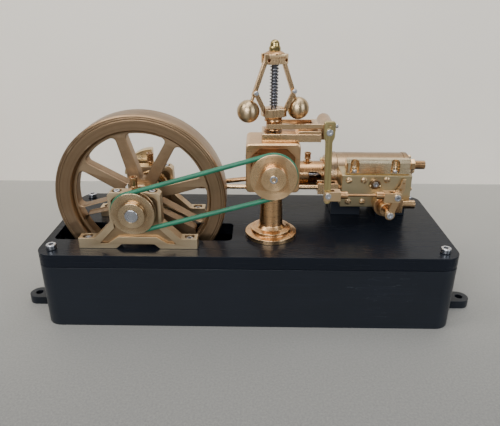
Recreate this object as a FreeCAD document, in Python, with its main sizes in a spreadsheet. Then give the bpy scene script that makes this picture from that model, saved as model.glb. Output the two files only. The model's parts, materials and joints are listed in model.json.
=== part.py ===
"""Model stationary steam engine: a horizontal mill engine on a hollow base, with a belt-driven flyball governor.

Frame: origin at the bottom centre of the base, +X along the base towards the cylinder, -Y towards the
belt side, +Z up. All sizes are in millimetres.
"""
import FreeCAD
import Part
import Sketcher

import math
import os
import re

# ---------------------------------------------------------------------------------------------------------
# Driving dimensions
# ---------------------------------------------------------------------------------------------------------
SIZES = {
    # base
    "base_length": 230.0,
    "base_depth": 90.0,
    "base_height": 45.0,
    "base_corner": 9.0,
    "base_wall": 4.0,
    "base_floor": 5.0,
    "plate_thickness": 7.7,
    "lug_reach": 13.0,
    "lug_root": 6.5,
    "lug_width": 11.0,
    "lug_thickness": 5.0,
    "lug_spacing": 38.0,
    "lug_hole_radius": 2.2,
    "well_side_gap": 4.0,
    "well_end_gap": 3.25,
    "well_corner": 3.0,
    # crankshaft line
    "crank_x": -60.0,
    "crank_rise": 23.0,
    "crank_throw": 13.0,
    "crank_angle": 48.0,
    "shaft_radius": 3.5,
    "running_fit": 0.05,
    # bearings
    "front_bearing_y": -33.2,
    "rear_bearing_y": 9.3,
    "bearing_thickness": 6.6,
    "bearing_width": 28.0,
    "bearing_rise": 33.0,
    "bearing_foot_width": 65.0,
    "bearing_foot_height": 6.2,
    "bearing_leg_foot": 23.5,
    "bearing_leg_rise": 15.5,
    "bearing_notch_foot": 12.0,
    "bearing_notch_top": 9.0,
    "bearing_notch_rise": 2.6,
    "bearing_rim": 2.2,
    "bearing_relief": 1.4,
    "bearing_boss": 12.6,
    "bearing_chamfer": 1.6,
    "oil_cup_radius": 2.1,
    "oil_cup_rise": 7.6,
    "oil_cup_stem": 1.2,
    "oil_cup_stem_rise": 2.3,
    "oil_cup_bore": 1.3,
    "oil_cup_bore_depth": 3.0,
    "rear_cup_offset": 0.4,
    "guide_cup_rise": 5.4,
    # flywheel
    "flywheel_y": -14.2,
    "flywheel_radius": 47.5,
    "flywheel_width": 15.0,
    "rim_inner": 38.5,
    "rim_chamfer": 1.6,
    "flywheel_hub": 9.0,
    "flywheel_hub_length": 17.0,
    "spoke_root": 7.6,
    "spoke_tip": 6.4,
    "spoke_depth": 7.0,
    "spoke_lead": 15.0,
    "spoke_bury": 1.0,
    # belt drive
    "belt_y": -40.0,
    "belt_radius": 1.25,
    "drive_pitch": 10.9,
    "driven_pitch": 11.4,
    "pulley_flange": 0.7,
    "pulley_width": 4.2,
    "groove_clearance": 0.15,
    "pulley_hub": 6.9,
    "pulley_spacer": 0.6,
    "pulley_hub_face": -44.6,
    "shaft_nose": -45.0,
    # crank web and eccentric
    "cylinder_y": 24.0,
    "web_thickness": 5.0,
    "web_face": 15.8,
    "web_hub": 8.0,
    "web_pin_boss": 5.0,
    "counterweight_radius": 18.0,
    "counterweight_half_angle": 43.0,
    "eccentric_y": 0.0,
    "eccentric_radius": 7.0,
    "eccentric_throw": 2.5,
    "eccentric_fit": 0.1,
    "eccentric_width": 4.0,
    "sheave_hub_wall": 1.6,
    "sheave_hub_length": 1.6,
    "strap_wall": 2.4,
    "strap_side_gap": 0.3,
    "strap_neck_radius": 2.3,
    "strap_neck_length": 7.0,
    "eccentric_rod_radius": 1.35,
    # connecting rod and crosshead
    "rod_length": 83.0,
    "rod_radius": 1.5,
    "rod_neck_length": 9.0,
    "rod_neck_bury": 0.8,
    "big_end_radius": 5.4,
    "big_end_width": 4.4,
    "pin_radius": 2.0,
    "pin_reach": 0.7,
    "wrist_radius": 1.4,
    "small_end_radius": 3.4,
    "small_end_width": 3.6,
    "small_end_gap": 0.3,
    "small_end_clearance": 0.5,
    "wrist_reach": 5.3,
    "crosshead_radius": 6.2,
    "crosshead_length": 12.0,
    "guide_outer": 8.3,
    "guide_lip": 0.8,
    "guide_lip_length": 2.4,
    "guide_pad_rise": 0.4,
    "guide_overrun": 1.0,
    "guide_run": 8.0,
    "guide_pad": 2.7,
    "cup_place": 5.4,
    "guide_flange": 12.0,
    "guide_flange_thickness": 3.0,
    "window_place": 6.0,
    "window_length": 13.0,
    "window_height": 7.6,
    "piston_rod_radius": 2.0,
    "piston_rod_length": 46.5,
    "piston_radius": 9.5,
    "piston_length": 7.0,
    # cylinder and steam chest
    "cylinder_length": 49.5,
    "cylinder_outer": 14.0,
    "cover_lip": 0.3,
    "cover_thickness": 4.0,
    "cover_chamfer": 1.5,
    "gland_radius": 4.4,
    "gland_length": 3.6,
    "pedestal_inset": 1.5,
    "pedestal_depth": 24.0,
    "pedestal_height": 11.5,
    "pedestal_notch": 10.0,
    "pedestal_notch_rise": 6.0,
    "chest_length": 40.4,
    "chest_rise": 9.4,
    "chest_height": 19.6,
    "chest_front": -3.0,
    "chest_back": 12.0,
    "chest_cover_thickness": 2.2,
    "chest_bore": 2.4,
    "chest_wall": 3.0,
    "manifold_inset": 2.2,
    "manifold_length": 37.0,
    "manifold_front": -4.4,
    "manifold_depth": 7.0,
    "manifold_height": 8.9,
    "manifold_chamfer": 1.6,
    "manifold_base_chamfer": 0.8,
    "pocket_radius": 2.3,
    "pocket_setback": 1.7,
    "pocket_floor": 1.6,
    "pocket_left": 4.7,
    "pocket_right": 9.0,
    "exhaust_nut": 3.6,
    "exhaust_nut_length": 2.4,
    "exhaust_rise": 5.3,
    "exhaust_radius": 2.5,
    "exhaust_length": 6.0,
    "pipe_wall": 0.9,
    "valve_rod_radius": 1.5,
    "valve_rod_end": 90.0,
    "fork_mouth": 13.5,
    "fork_length": 12.0,
    "fork_tall": 6.5,
    "fork_gap": 3.4,
    "fork_cheek": 1.6,
    "fork_web": 1.7,
    "valve_eye": 2.3,
    "valve_eye_width": 3.0,
    "valve_eye_inset": 2.6,
    # throttle valve
    "throttle_x": 78.4,
    "throttle_drop": 6.9,
    "throttle_radius": 6.2,
    "throttle_length": 7.0,
    "throttle_boss": 4.1,
    "throttle_boss_length": 5.6,
    "throttle_block_length": 10.5,
    "throttle_block_height": 8.4,
    "throttle_block_depth": 6.8,
    "inlet_radius": 2.5,
    "inlet_length": 7.5,
    "throttle_spindle": 1.3,
    "throttle_arm": 11.4,
    "throttle_arm_angle": 16.5,
    "push_rod_rise": 0.6,
    "throttle_arm_eye": 2.4,
    "throttle_arm_half": 1.9,
    "throttle_arm_root": 2.8,
    "throttle_spindle_end": 1.0,
    "arm_thickness": 2.2,
    # governor stand
    "governor_x": 13.0,
    "governor_y": -16.5,
    "column_foot": 14.7,
    "column_foot_height": 2.6,
    "column_ring": 11.5,
    "column_ring_height": 2.4,
    "column_ring_chamfer": 0.5,
    "column_flare": 1.6,
    "column_flare_rise": 2.4,
    "column_bottom": 6.7,
    "column_top": 5.6,
    "gearbox_width": 28.6,
    "gearbox_depth": 24.4,
    "gearbox_height": 27.0,
    "column_height": 30.5,
    "gearbox_corner": 2.0,
    "gearbox_rim": 2.4,
    "gearbox_relief": 1.5,
    "gearbox_bevel": 3.8,
    "shaft_end_gap": 0.3,
    "driven_collar": 1.0,
    "driven_rise": 13.2,
    "driven_shaft": 2.6,
    "driven_hub": 6.4,
    "driven_seat": 8.0,
    # governor
    "spindle_radius": 1.5,
    "spindle_seat": 8.0,
    "cap_radius": 6.1,
    "cap_rise": 38.5,
    "cap_height": 4.2,
    "cap_cone": 2.0,
    "cap_neck": 3.2,
    "acorn_radius": 2.5,
    "acorn_height": 5.4,
    "acorn_collar_rise": 2.2,
    "acorn_neck": 2.0,
    "acorn_neck_rise": 2.5,
    "acorn_shoulder_rise": 3.8,
    "acorn_crown": 1.4,
    "acorn_crown_rise": 5.0,
    "arm_pivot_offset": 4.6,
    "arm_pivot_rise": 2.0,
    "arm_length": 27.05,
    "arm_lean": 20.2,
    "arm_radius": 1.05,
    "arm_eye": 1.5,
    "arm_eye_width": 2.4,
    "arm_slot": 3.0,
    "arm_slot_start": 2.4,
    "cap_pin_bury": 0.5,
    "pivot_pin": 0.6,
    "pivot_pin_end": 0.5,
    "ball_radius": 5.7,
    "link_pivot": 17.1,
    "link_length": 11.5,
    "link_width": 2.6,
    "link_thickness": 1.5,
    "link_offset": 1.95,
    "link_slot": 2.3,
    "governor_turn": 19.0,
    "sleeve_pivot_offset": 5.3,
    "sleeve_pivot_inset": 1.9,
    "sleeve_length": 11.2,
    "sleeve_head": 6.0,
    "sleeve_head_height": 4.2,
    "sleeve_slot_floor": 2.4,
    "sleeve_slot_start": 2.6,
    "sleeve_neck": 3.8,
    "sleeve_cone": 2.5,
    "sleeve_waist": 4.8,
    "sleeve_collar": 5.0,
    "sleeve_collar_height": 0.6,
    "spring_radius": 2.3,
    "spring_wire": 0.6,
    "spring_gap": 0.4,
    # governor linkage
    "bracket_depth": 17.4,
    "bracket_height": 4.2,
    "bracket_overhang": 5.9,
    "bracket_end": 24.4,
    "bracket_reach": 29.0,
    "bracket_lap": 1.0,
    "barrel_radius": 3.9,
    "barrel_front": -20.4,
    "barrel_back": 3.0,
    "cross_shaft_rise": 5.3,
    "cross_shaft_radius": 1.4,
    "fork_arm_thickness": 1.9,
    "fork_arm_height": 2.6,
    "fork_arm_rise": 2.6,
    "fork_hub": 3.4,
    "fork_bridge_inset": 8.6,
    "fork_bridge_length": 3.0,
    "fork_tip": 3.4,
    "fork_side_gap": 0.3,
    "lever_gap": 0.3,
    "lever_thickness": 2.4,
    "lever_width": 3.6,
    "lever_head": 5.8,
    "lever_head_up": 5.6,
    "lever_head_down": 3.4,
    "lever_shoulder": 2.4,
    "lever_below_rod": 5.0,
    "lever_lean": 1.2,
    "push_rod_radius": 0.75,
    "clevis_length": 8.9,
    "clevis_inset": 1.9,
    "far_clevis_inset": 1.0,
    "clevis_height": 5.2,
    "clevis_cheek": 1.2,
    "clevis_gap": 0.3,
    "clevis_web": 3.4,
    "ferrule_radius": 2.1,
    "ferrule_length": 3.9,
}

document = FreeCAD.newDocument("steam_engine")
sizes = document.addObject("Spreadsheet::Sheet", "Sizes")
for row, (alias, number) in enumerate(SIZES.items(), start=1):
    sizes.set("A%d" % row, alias)
    sizes.set("B%d" % row, str(number))
    sizes.setAlias("B%d" % row, alias)
document.recompute()

# Places that follow from the driving dimensions
CRANK_Z = "(base_height + crank_rise)"
HALF_LENGTH = "(base_length / 2)"
HALF_DEPTH = "(base_depth / 2)"
CROSSHEAD_X = (
    "(crank_x + crank_throw * cos(crank_angle)"
    " + rod_length * cos(asin(crank_throw * sin(crank_angle) / rod_length)))"
)
GUIDE_START = "(crank_x - crank_throw + rod_length - guide_overrun)"
CYLINDER_START = "(crank_x + crank_throw + rod_length + crosshead_length / 2 + guide_run)"
CHEST_START = "(%s + cover_thickness)" % CYLINDER_START
COVER_RADIUS = "(cylinder_outer + cover_lip)"
CHEST_TOP = "(%s + chest_rise)" % CRANK_Z
MANIFOLD_START = "(%s + manifold_inset)" % CHEST_START
EXHAUST_Y = "(manifold_front + manifold_depth / 2)"
EXHAUST_Z = "(%s + exhaust_rise)" % CHEST_TOP
CHEST_FACE = "(chest_front - chest_cover_thickness)"
FORK_START = "(%s - fork_mouth)" % CHEST_START
THROTTLE_Z = "(%s - throttle_drop)" % CRANK_Z
THROTTLE_TIP_Z = "(%s + throttle_arm * cos(throttle_arm_angle))" % THROTTLE_Z
PUSH_ROD_Z = "(%s + push_rod_rise)" % THROTTLE_TIP_Z
THROTTLE_TOP_X = "(throttle_x + throttle_arm * sin(throttle_arm_angle))"
GEARBOX_BOTTOM = "(base_height + column_height)"
GEARBOX_TOP = "(%s + gearbox_height)" % GEARBOX_BOTTOM
GEARBOX_FRONT = "(governor_y - gearbox_depth / 2)"
DRIVEN_Z = "(%s + driven_rise)" % GEARBOX_BOTTOM
CAP_BOTTOM = "(%s + cap_rise)" % GEARBOX_TOP
ARM_PIVOT_Z = "(%s + arm_pivot_rise)" % CAP_BOTTOM
LINK_PIVOT_OUT = "(arm_pivot_offset + link_pivot * sin(arm_lean))"
LINK_PIVOT_Z = "(%s - link_pivot * cos(arm_lean))" % ARM_PIVOT_Z
LINK_LEAN = "asin((%s - sleeve_pivot_offset) / link_length)" % LINK_PIVOT_OUT
SLEEVE_TOP = "(%s - link_length * cos(%s) + sleeve_pivot_inset)" % (LINK_PIVOT_Z, LINK_LEAN)
SLEEVE_BOTTOM = "(%s - sleeve_length)" % SLEEVE_TOP
CROSS_X = "(governor_x + bracket_reach)"
CROSS_Z = "(%s + cross_shaft_rise)" % GEARBOX_TOP
FORK_FRONT = "(governor_y - sleeve_neck - fork_side_gap - fork_arm_thickness)"
LEVER_FRONT = "(%s - lever_gap - lever_thickness)" % FORK_FRONT
LEVER_Y = "(%s + lever_thickness / 2)" % LEVER_FRONT
LEVER_FOOT_X = "(%s + lever_lean)" % CROSS_X

TURNS = {
    "up": FreeCAD.Rotation(),
    "right": FreeCAD.Rotation(FreeCAD.Vector(0, 1, 0), 90),
    "back": FreeCAD.Rotation(FreeCAD.Vector(1, 0, 0), -90),
    "front": FreeCAD.Rotation(FreeCAD.Vector(1, 0, 0), 90),
}


def bound(expression):
    """The expression with the sheet's name before each of its cells."""
    return re.sub(
        r"[a-z][a-z_]*",
        lambda word: "Sizes." + word.group() if word.group() in SIZES else word.group(),
        str(expression),
    )


def value(expression):
    """The present value of an expression of the sheet's cells."""
    result = sizes.evalExpression(bound(expression))
    return float(getattr(result, "Value", result))


# ---------------------------------------------------------------------------------------------------------
# Ways of making shapes
# ---------------------------------------------------------------------------------------------------------
parts = []


def add(kind, name, **lengths):
    """A document object of a kind, with its properties bound to the sheet."""
    thing = document.addObject(kind, name)
    for key, expression in lengths.items():
        thing.setExpression(key, bound(expression))
    return thing


def put(thing, x=0, y=0, z=0, turn="up"):
    """Place an object with its base point at x, y, z."""
    thing.Placement = FreeCAD.Placement(FreeCAD.Vector(), TURNS[turn])
    for axis, expression in zip("xyz", (x, y, z)):
        thing.setExpression("Placement.Base." + axis, bound(expression))
    return thing


def block(name, length, depth, height, x, y, z):
    """A box from its lowest corner."""
    return put(add("Part::Box", name, Length=length, Width=depth, Height=height), x, y, z)


def round_bar(name, radius, length, x, y, z, turn="up"):
    """A cylinder from the centre of its near end."""
    return put(add("Part::Cylinder", name, Radius=radius, Height=length), x, y, z, turn)


def taper(name, near, far, length, x, y, z, turn="up"):
    """A cone from the centre of its near end."""
    return put(add("Part::Cone", name, Radius1=near, Radius2=far, Height=length), x, y, z, turn)


def join(name, pieces):
    """One solid from pieces that touch."""
    union = document.addObject("Part::MultiFuse", name)
    union.Shapes = pieces
    union.Refine = True
    return union


def cut(name, base, tools):
    """A base with tools taken out of it."""
    result = document.addObject("Part::Cut", name)
    result.Base = base
    result.Tool = tools[0] if len(tools) == 1 else join(name + "_tools", tools)
    result.Refine = True
    return result


def rounded_block(name, length, depth, height, corner, x, y, z):
    """A box with round upright corners, from the centre of its underside."""
    pieces = [
        block(name + "_long", length, "%s - 2 * %s" % (depth, corner), height,
              "%s - %s / 2" % (x, length), "%s - %s / 2 + %s" % (y, depth, corner), z),
        block(name + "_deep", "%s - 2 * %s" % (length, corner), depth, height,
              "%s - %s / 2 + %s" % (x, length, corner), "%s - %s / 2" % (y, depth), z),
    ]
    for side in (-1, 1):
        for end in (-1, 1):
            pieces.append(round_bar(
                "%s_corner" % name, corner, height,
                "%s + %d * (%s / 2 - %s)" % (x, side, length, corner),
                "%s + %d * (%s / 2 - %s)" % (y, end, depth, corner), z,
            ))
    return join(name + "_rounded", pieces)


def plane_of(body, role):
    """A body's own origin plane."""
    return [feature for feature in body.Origin.OriginFeatures if feature.Role == role][0]


def sketch_on(body, role, name):
    """An empty sketch on one of a body's origin planes."""
    sketch = body.newObject("Sketcher::SketchObject", name)
    sketch.AttachmentSupport = [(plane_of(body, role), "")]
    sketch.MapMode = "FlatFace"
    return sketch


def bind_point(sketch, curve, point, across, up):
    """Tie a sketch point's place to the sheet."""
    for kind, expression in (("DistanceX", across), ("DistanceY", up)):
        number = sketch.addConstraint(Sketcher.Constraint(kind, -1, 1, curve, point, value(expression)))
        sketch.setExpression("Constraints[%d]" % number, bound(expression))


def draw_polygon(sketch, points):
    """A closed outline of straight lines through points."""
    first = sketch.GeometryCount
    spots = [FreeCAD.Vector(value(across), value(up), 0) for across, up in points]
    for number, spot in enumerate(spots):
        sketch.addGeometry(Part.LineSegment(spot, spots[(number + 1) % len(spots)]), False)
    for number, (across, up) in enumerate(points):
        following = first + (number + 1) % len(points)
        sketch.addConstraint(Sketcher.Constraint("Coincident", first + number, 2, following, 1))
        bind_point(sketch, first + number, 1, across, up)


def draw_circle(sketch, across, up, radius):
    """A circle about a point."""
    centre = FreeCAD.Vector(value(across), value(up), 0)
    curve = sketch.addGeometry(Part.Circle(centre, FreeCAD.Vector(0, 0, 1), value(radius)), False)
    bind_point(sketch, curve, 3, across, up)
    number = sketch.addConstraint(Sketcher.Constraint("Radius", curve, value(radius)))
    sketch.setExpression("Constraints[%d]" % number, bound(radius))


def plate(name, points, thickness, holes=()):
    """A flat body: an outline with round holes, padded along its own +Z."""
    body = document.addObject("PartDesign::Body", name)
    sketch = sketch_on(body, "XY_Plane", name + "_outline")
    draw_polygon(sketch, points)
    for across, up, radius in holes:
        draw_circle(sketch, across, up, radius)
    pad = body.newObject("PartDesign::Pad", name + "_pad")
    pad.Profile = sketch
    pad.setExpression("Length", bound(thickness))
    body.Tip = pad
    return body


def turned(name, profile):
    """A body turned about its own Z axis from a closed profile of (radius, height) points."""
    body = document.addObject("PartDesign::Body", name)
    sketch = sketch_on(body, "XZ_Plane", name + "_profile")
    draw_polygon(sketch, profile)
    spin = body.newObject("PartDesign::Revolution", name + "_turning")
    spin.Profile = sketch
    spin.ReferenceAxis = (sketch, ["V_Axis"])
    spin.Angle = 360
    body.Tip = spin
    return body


def node(thing, label):
    """Name an object as a sub-part."""
    thing.Label = label
    parts.append(thing)
    return thing


# ---------------------------------------------------------------------------------------------------------
# Base
# ---------------------------------------------------------------------------------------------------------
def make_base_box():
    outer = rounded_block("box_outer", "base_length", "base_depth", "(base_height - plate_thickness)",
                          "base_corner", 0, 0, 0)
    solids = [outer]
    holes = [rounded_block("box_inner", "(base_length - 2 * base_wall)", "(base_depth - 2 * base_wall)",
                           "base_height", "(base_corner - base_wall)", 0, 0, "base_floor")]
    for end in (-1, 1):
        for side in (-1, 1):
            reach = "%d * (%s + lug_reach)" % (end, HALF_LENGTH)
            lug_y = "%d * lug_spacing / 2" % side
            solids.append(block("lug_bar", "lug_reach + lug_root", "lug_width", "lug_thickness",
                                "%s - lug_reach - lug_root" % reach if end > 0 else reach,
                                "%s - lug_width / 2" % lug_y, 0))
            solids.append(round_bar("lug_end", "lug_width / 2", "lug_thickness", reach, lug_y, 0))
            holes.append(round_bar("lug_hole", "lug_hole_radius", "lug_thickness", reach, lug_y, 0))
    node(cut("base_cut", join("base_solids", solids), holes), "base_box")


def make_top_plate():
    plate_z = "(base_height - plate_thickness)"
    slab = rounded_block("plate_slab", "base_length", "base_depth", "plate_thickness", "base_corner",
                         0, 0, plate_z)
    well = rounded_block("plate_well", "(2 * (flywheel_radius + well_end_gap))",
                         "(flywheel_width + 2 * well_side_gap)", "plate_thickness", "well_corner",
                         "crank_x", "flywheel_y", plate_z)
    node(cut("plate_cut", slab, [well]), "top_plate")


# ---------------------------------------------------------------------------------------------------------
# Crankshaft line
# ---------------------------------------------------------------------------------------------------------
def bearing_outline():
    right = [
        ("bearing_notch_top", "bearing_notch_rise"),
        ("bearing_notch_foot", 0),
        ("bearing_foot_width / 2", 0),
        ("bearing_foot_width / 2", "bearing_foot_height"),
        ("bearing_leg_foot", "bearing_foot_height"),
        ("bearing_width / 2", "bearing_leg_rise"),
        ("bearing_width / 2", "bearing_rise - bearing_chamfer"),
        ("bearing_width / 2 - bearing_chamfer", "bearing_rise"),
    ]
    return right + [("-(%s)" % across, up) for across, up in reversed(right)]


def relief_outline():
    right = [
        ("bearing_notch_top + bearing_rim / 2", "bearing_notch_rise + bearing_rim"),
        ("bearing_notch_foot + bearing_rim", "bearing_rim"),
        ("bearing_leg_foot - bearing_rim / 2", "bearing_rim"),
        ("bearing_leg_foot - bearing_rim", "bearing_foot_height - bearing_rim / 2"),
        ("bearing_width / 2 - bearing_rim", "bearing_leg_rise - bearing_rim / 2"),
        ("bearing_width / 2 - bearing_rim", "bearing_rise - bearing_rim - bearing_chamfer"),
        ("bearing_width / 2 - bearing_rim - bearing_chamfer", "bearing_rise - bearing_rim"),
    ]
    return right + [("-(%s)" % across, up) for across, up in reversed(right)]


def make_bearing(label, centre_y):
    body = plate(label + "_body", bearing_outline(), "bearing_thickness",
                 [(0, "crank_rise", "shaft_radius + running_fit")])
    relief = sketch_on(body, "XY_Plane", label + "_relief")
    draw_polygon(relief, relief_outline())
    draw_circle(relief, 0, "crank_rise", "bearing_boss")
    relief.setExpression("AttachmentOffset.Base.z", bound("bearing_thickness"))
    pocket = body.newObject("PartDesign::Pocket", label + "_pocket")
    pocket.Profile = relief
    pocket.setExpression("Length", bound("bearing_relief"))
    body.Tip = pocket
    put(body, "crank_x", "%s + bearing_thickness / 2" % centre_y, "base_height", "front")
    node(body, label)


def make_oil_cup(label, x, y, z, rise):
    """Oil cup: a bowl on a thinner stem, open at the top."""
    bowl_z = "(%s + oil_cup_stem_rise)" % z
    pieces = [
        round_bar(label + "_stem", "oil_cup_stem", "oil_cup_stem_rise", x, y, z),
        round_bar(label + "_bowl", "oil_cup_radius", "%s - oil_cup_stem_rise" % rise, x, y, bowl_z),
    ]
    mouth = round_bar(label + "_mouth", "oil_cup_bore", "oil_cup_bore_depth", x, y,
                      "%s + %s - oil_cup_bore_depth" % (z, rise))
    node(cut(label + "_cut", join(label + "_solids", pieces), [mouth]), label)


def make_flywheel():
    half = "flywheel_width / 2"
    body = turned("flywheel_body", [
        ("rim_inner", "-" + half),
        ("flywheel_radius - rim_chamfer", "-" + half),
        ("flywheel_radius", "-%s + rim_chamfer" % half),
        ("flywheel_radius", "%s - rim_chamfer" % half),
        ("flywheel_radius - rim_chamfer", half),
        ("rim_inner", half),
    ])
    spoke = sketch_on(body, "XY_Plane", "spoke_section")
    draw_polygon(spoke, [
        ("flywheel_hub - 2 * spoke_bury", "-spoke_root / 2"),
        ("rim_inner + spoke_bury", "-spoke_tip / 2"),
        ("rim_inner + spoke_bury", "spoke_tip / 2"),
        ("flywheel_hub - 2 * spoke_bury", "spoke_root / 2"),
    ])
    pad = body.newObject("PartDesign::Pad", "spoke_pad")
    pad.Profile = spoke
    pad.Midplane = True
    pad.setExpression("Length", bound("spoke_depth"))
    ring = body.newObject("PartDesign::PolarPattern", "spoke_ring")
    ring.Originals = [pad]
    ring.Axis = (spoke, ["N_Axis"])
    ring.Angle = 360
    ring.Occurrences = 8
    body.Tip = ring
    hub_sketch = sketch_on(body, "XY_Plane", "hub_section")
    draw_circle(hub_sketch, 0, 0, "flywheel_hub")
    hub = body.newObject("PartDesign::Pad", "hub_pad")
    hub.Profile = hub_sketch
    hub.Midplane = True
    hub.setExpression("Length", bound("flywheel_hub_length"))
    bore_sketch = sketch_on(body, "XY_Plane", "bore_section")
    draw_circle(bore_sketch, 0, 0, "shaft_radius")
    bore = body.newObject("PartDesign::Pocket", "hub_bore")
    bore.Profile = bore_sketch
    bore.Midplane = True
    bore.setExpression("Length", bound("2 * flywheel_hub_length"))
    body.Tip = bore
    lead = FreeCAD.Rotation(FreeCAD.Vector(0, 0, 1), -value("spoke_lead"))
    put(body, "crank_x", "flywheel_y", CRANK_Z, "back")
    body.Placement = FreeCAD.Placement(body.Placement.Base, TURNS["back"].multiply(lead))
    node(body, "flywheel")


def pulley_profile(pitch, hub_start, hub_end, hub, bore):
    """Half section of a pulley about its groove's plane, with a hub towards its own -Z."""
    half = "pulley_width / 2"
    wide = "(belt_radius + groove_clearance)"
    flat = "(%s * tan(22.5))" % wide
    floor = "%s - %s" % (pitch, wide)
    shoulder = "%s - %s" % (pitch, flat)
    rim = "%s + pulley_flange" % pitch
    return [
        (bore, hub_start),
        (hub, hub_start),
        (hub, "-" + half),
        (rim, "-" + half),
        (rim, "-" + wide),
        (shoulder, "-" + wide),
        (floor, "-" + flat),
        (floor, flat),
        (shoulder, wide),
        (rim, wide),
        (rim, half),
        (hub, half),
        (hub, hub_end),
        (bore, hub_end),
    ]


def make_crank_line():
    web_end = "(web_face + web_thickness)"
    node(round_bar("shaft_bar", "shaft_radius", "%s - shaft_nose" % web_end, "crank_x", "shaft_nose",
                   CRANK_Z, "back"), "crankshaft")
    make_flywheel()
    pulley = turned("drive_pulley_body", pulley_profile(
        "drive_pitch", "pulley_hub_face - belt_y", "pulley_width / 2 + pulley_spacer", "pulley_hub", "shaft_radius"))
    node(put(pulley, "crank_x", "belt_y", CRANK_Z, "back"), "drive_pulley")
    make_crank_web()
    sheave_x = "crank_x + eccentric_throw"
    sheave = join("sheave_solids", [
        round_bar("sheave_disc", "eccentric_radius", "eccentric_width", sheave_x,
                  "eccentric_y - eccentric_width / 2", CRANK_Z, "back"),
        round_bar("sheave_hub", "shaft_radius + sheave_hub_wall", "sheave_hub_length", "crank_x",
                  "eccentric_y - eccentric_width / 2 - sheave_hub_length", CRANK_Z, "back"),
    ])
    bore = round_bar("sheave_bore", "shaft_radius", "4 * eccentric_width", "crank_x",
                     "eccentric_y - 2 * eccentric_width", CRANK_Z, "back")
    node(cut("sheave_cut", sheave, [bore]), "eccentric_sheave")


def make_crank_web():
    """Crank web: a hub, an arm to the crank pin and a fan-shaped counterweight opposite."""
    thickness = value("web_thickness")
    lean = math.radians(value("crank_angle"))
    half_angle = math.radians(value("counterweight_half_angle"))
    outer = value("counterweight_radius")
    centre = FreeCAD.Vector(0, 0, 0)
    towards_pin = FreeCAD.Vector(math.cos(lean), -math.sin(lean), 0)
    pin_spot = towards_pin * value("crank_throw")
    opposite = math.atan2(-towards_pin.y, -towards_pin.x)

    def at(radius, angle):
        return FreeCAD.Vector(radius * math.cos(angle), radius * math.sin(angle), 0)

    fan = Part.Wire([
        Part.makeLine(centre, at(outer, opposite - half_angle)),
        Part.Arc(at(outer, opposite - half_angle), at(outer, opposite), at(outer, opposite + half_angle)).toShape(),
        Part.makeLine(at(outer, opposite + half_angle), centre),
    ])
    along = FreeCAD.Vector(0, 0, thickness)
    shape = Part.Face(fan).extrude(along)
    hub = value("web_hub")
    boss = value("web_pin_boss")
    side = FreeCAD.Vector(-towards_pin.y, towards_pin.x, 0)
    arm = Part.makePolygon([side * hub, pin_spot + side * boss, pin_spot - side * boss, side * -hub, side * hub])
    for piece in (
        Part.makeCylinder(hub, thickness),
        Part.makeCylinder(boss, thickness, pin_spot),
        Part.Face(arm).extrude(along),
    ):
        shape = shape.fuse(piece)
    shape = shape.cut(Part.makeCylinder(value("shaft_radius"), thickness)).removeSplitter()
    web = document.addObject("Part::Feature", "crank_web_solid")
    web.Shape = shape
    put(web, "crank_x", "web_face + web_thickness", CRANK_Z, "front")
    node(web, "crank_web")


def make_belt():
    """A round belt: one closed loop round both pulleys."""
    drive_centre = FreeCAD.Vector(value("crank_x"), value("belt_y"), value(CRANK_Z))
    driven_centre = FreeCAD.Vector(value("governor_x"), value("belt_y"), value(DRIVEN_Z))
    drive_radius = value("drive_pitch")
    driven_radius = value("driven_pitch")
    run = driven_centre - drive_centre
    bearing = math.atan2(run.z, run.x)
    spread = math.acos((drive_radius - driven_radius) / run.Length)

    def on_pulley(centre, radius, angle):
        return centre + FreeCAD.Vector(radius * math.cos(angle), 0, radius * math.sin(angle))

    upper = bearing + spread
    lower = bearing - spread
    loop = Part.Wire([
        Part.makeLine(on_pulley(drive_centre, drive_radius, upper), on_pulley(driven_centre, driven_radius, upper)),
        Part.Arc(on_pulley(driven_centre, driven_radius, upper), on_pulley(driven_centre, driven_radius, bearing),
                 on_pulley(driven_centre, driven_radius, lower)).toShape(),
        Part.makeLine(on_pulley(driven_centre, driven_radius, lower), on_pulley(drive_centre, drive_radius, lower)),
        Part.Arc(on_pulley(drive_centre, drive_radius, lower),
                 on_pulley(drive_centre, drive_radius, bearing + math.pi),
                 on_pulley(drive_centre, drive_radius, upper)).toShape(),
    ])
    start = on_pulley(drive_centre, drive_radius, upper)
    heading = (on_pulley(driven_centre, driven_radius, upper) - start).normalize()
    section = Part.Wire([Part.Circle(start, heading, value("belt_radius")).toShape()])
    belt = document.addObject("Part::Feature", "belt_solid")
    belt.Shape = loop.makePipeShell([section], True, True)
    node(belt, "drive_belt")


def make_eccentric_rod():
    """Strap round the sheave, with a rod to the valve-rod fork."""
    sheave_x = "(crank_x + eccentric_throw)"
    eye_x = "(%s + valve_eye_inset)" % FORK_START
    width = "(eccentric_width - 2 * strap_side_gap)"
    outer = "(eccentric_radius + strap_wall)"
    pieces = [
        round_bar("strap_ring", outer, width, sheave_x, "eccentric_y - %s / 2" % width, CRANK_Z, "back"),
        round_bar("strap_rod", "eccentric_rod_radius", "%s - %s - eccentric_radius - strap_wall / 2" % (
            eye_x, sheave_x), "%s + eccentric_radius + strap_wall / 2" % sheave_x, "eccentric_y", CRANK_Z, "right"),
        taper("strap_neck", "strap_neck_radius", "eccentric_rod_radius", "strap_neck_length",
              "%s + %s - strap_wall / 4" % (sheave_x, outer), "eccentric_y", CRANK_Z, "right"),
        round_bar("strap_eye", "valve_eye", "valve_eye_width", eye_x, "eccentric_y - valve_eye_width / 2",
                  CRANK_Z, "back"),
    ]
    bore = round_bar("strap_bore", "eccentric_radius + eccentric_fit", "eccentric_width", sheave_x,
                     "eccentric_y - eccentric_width / 2", CRANK_Z, "back")
    node(cut("strap_cut", join("strap_solids", pieces), [bore]), "eccentric_rod")


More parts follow.
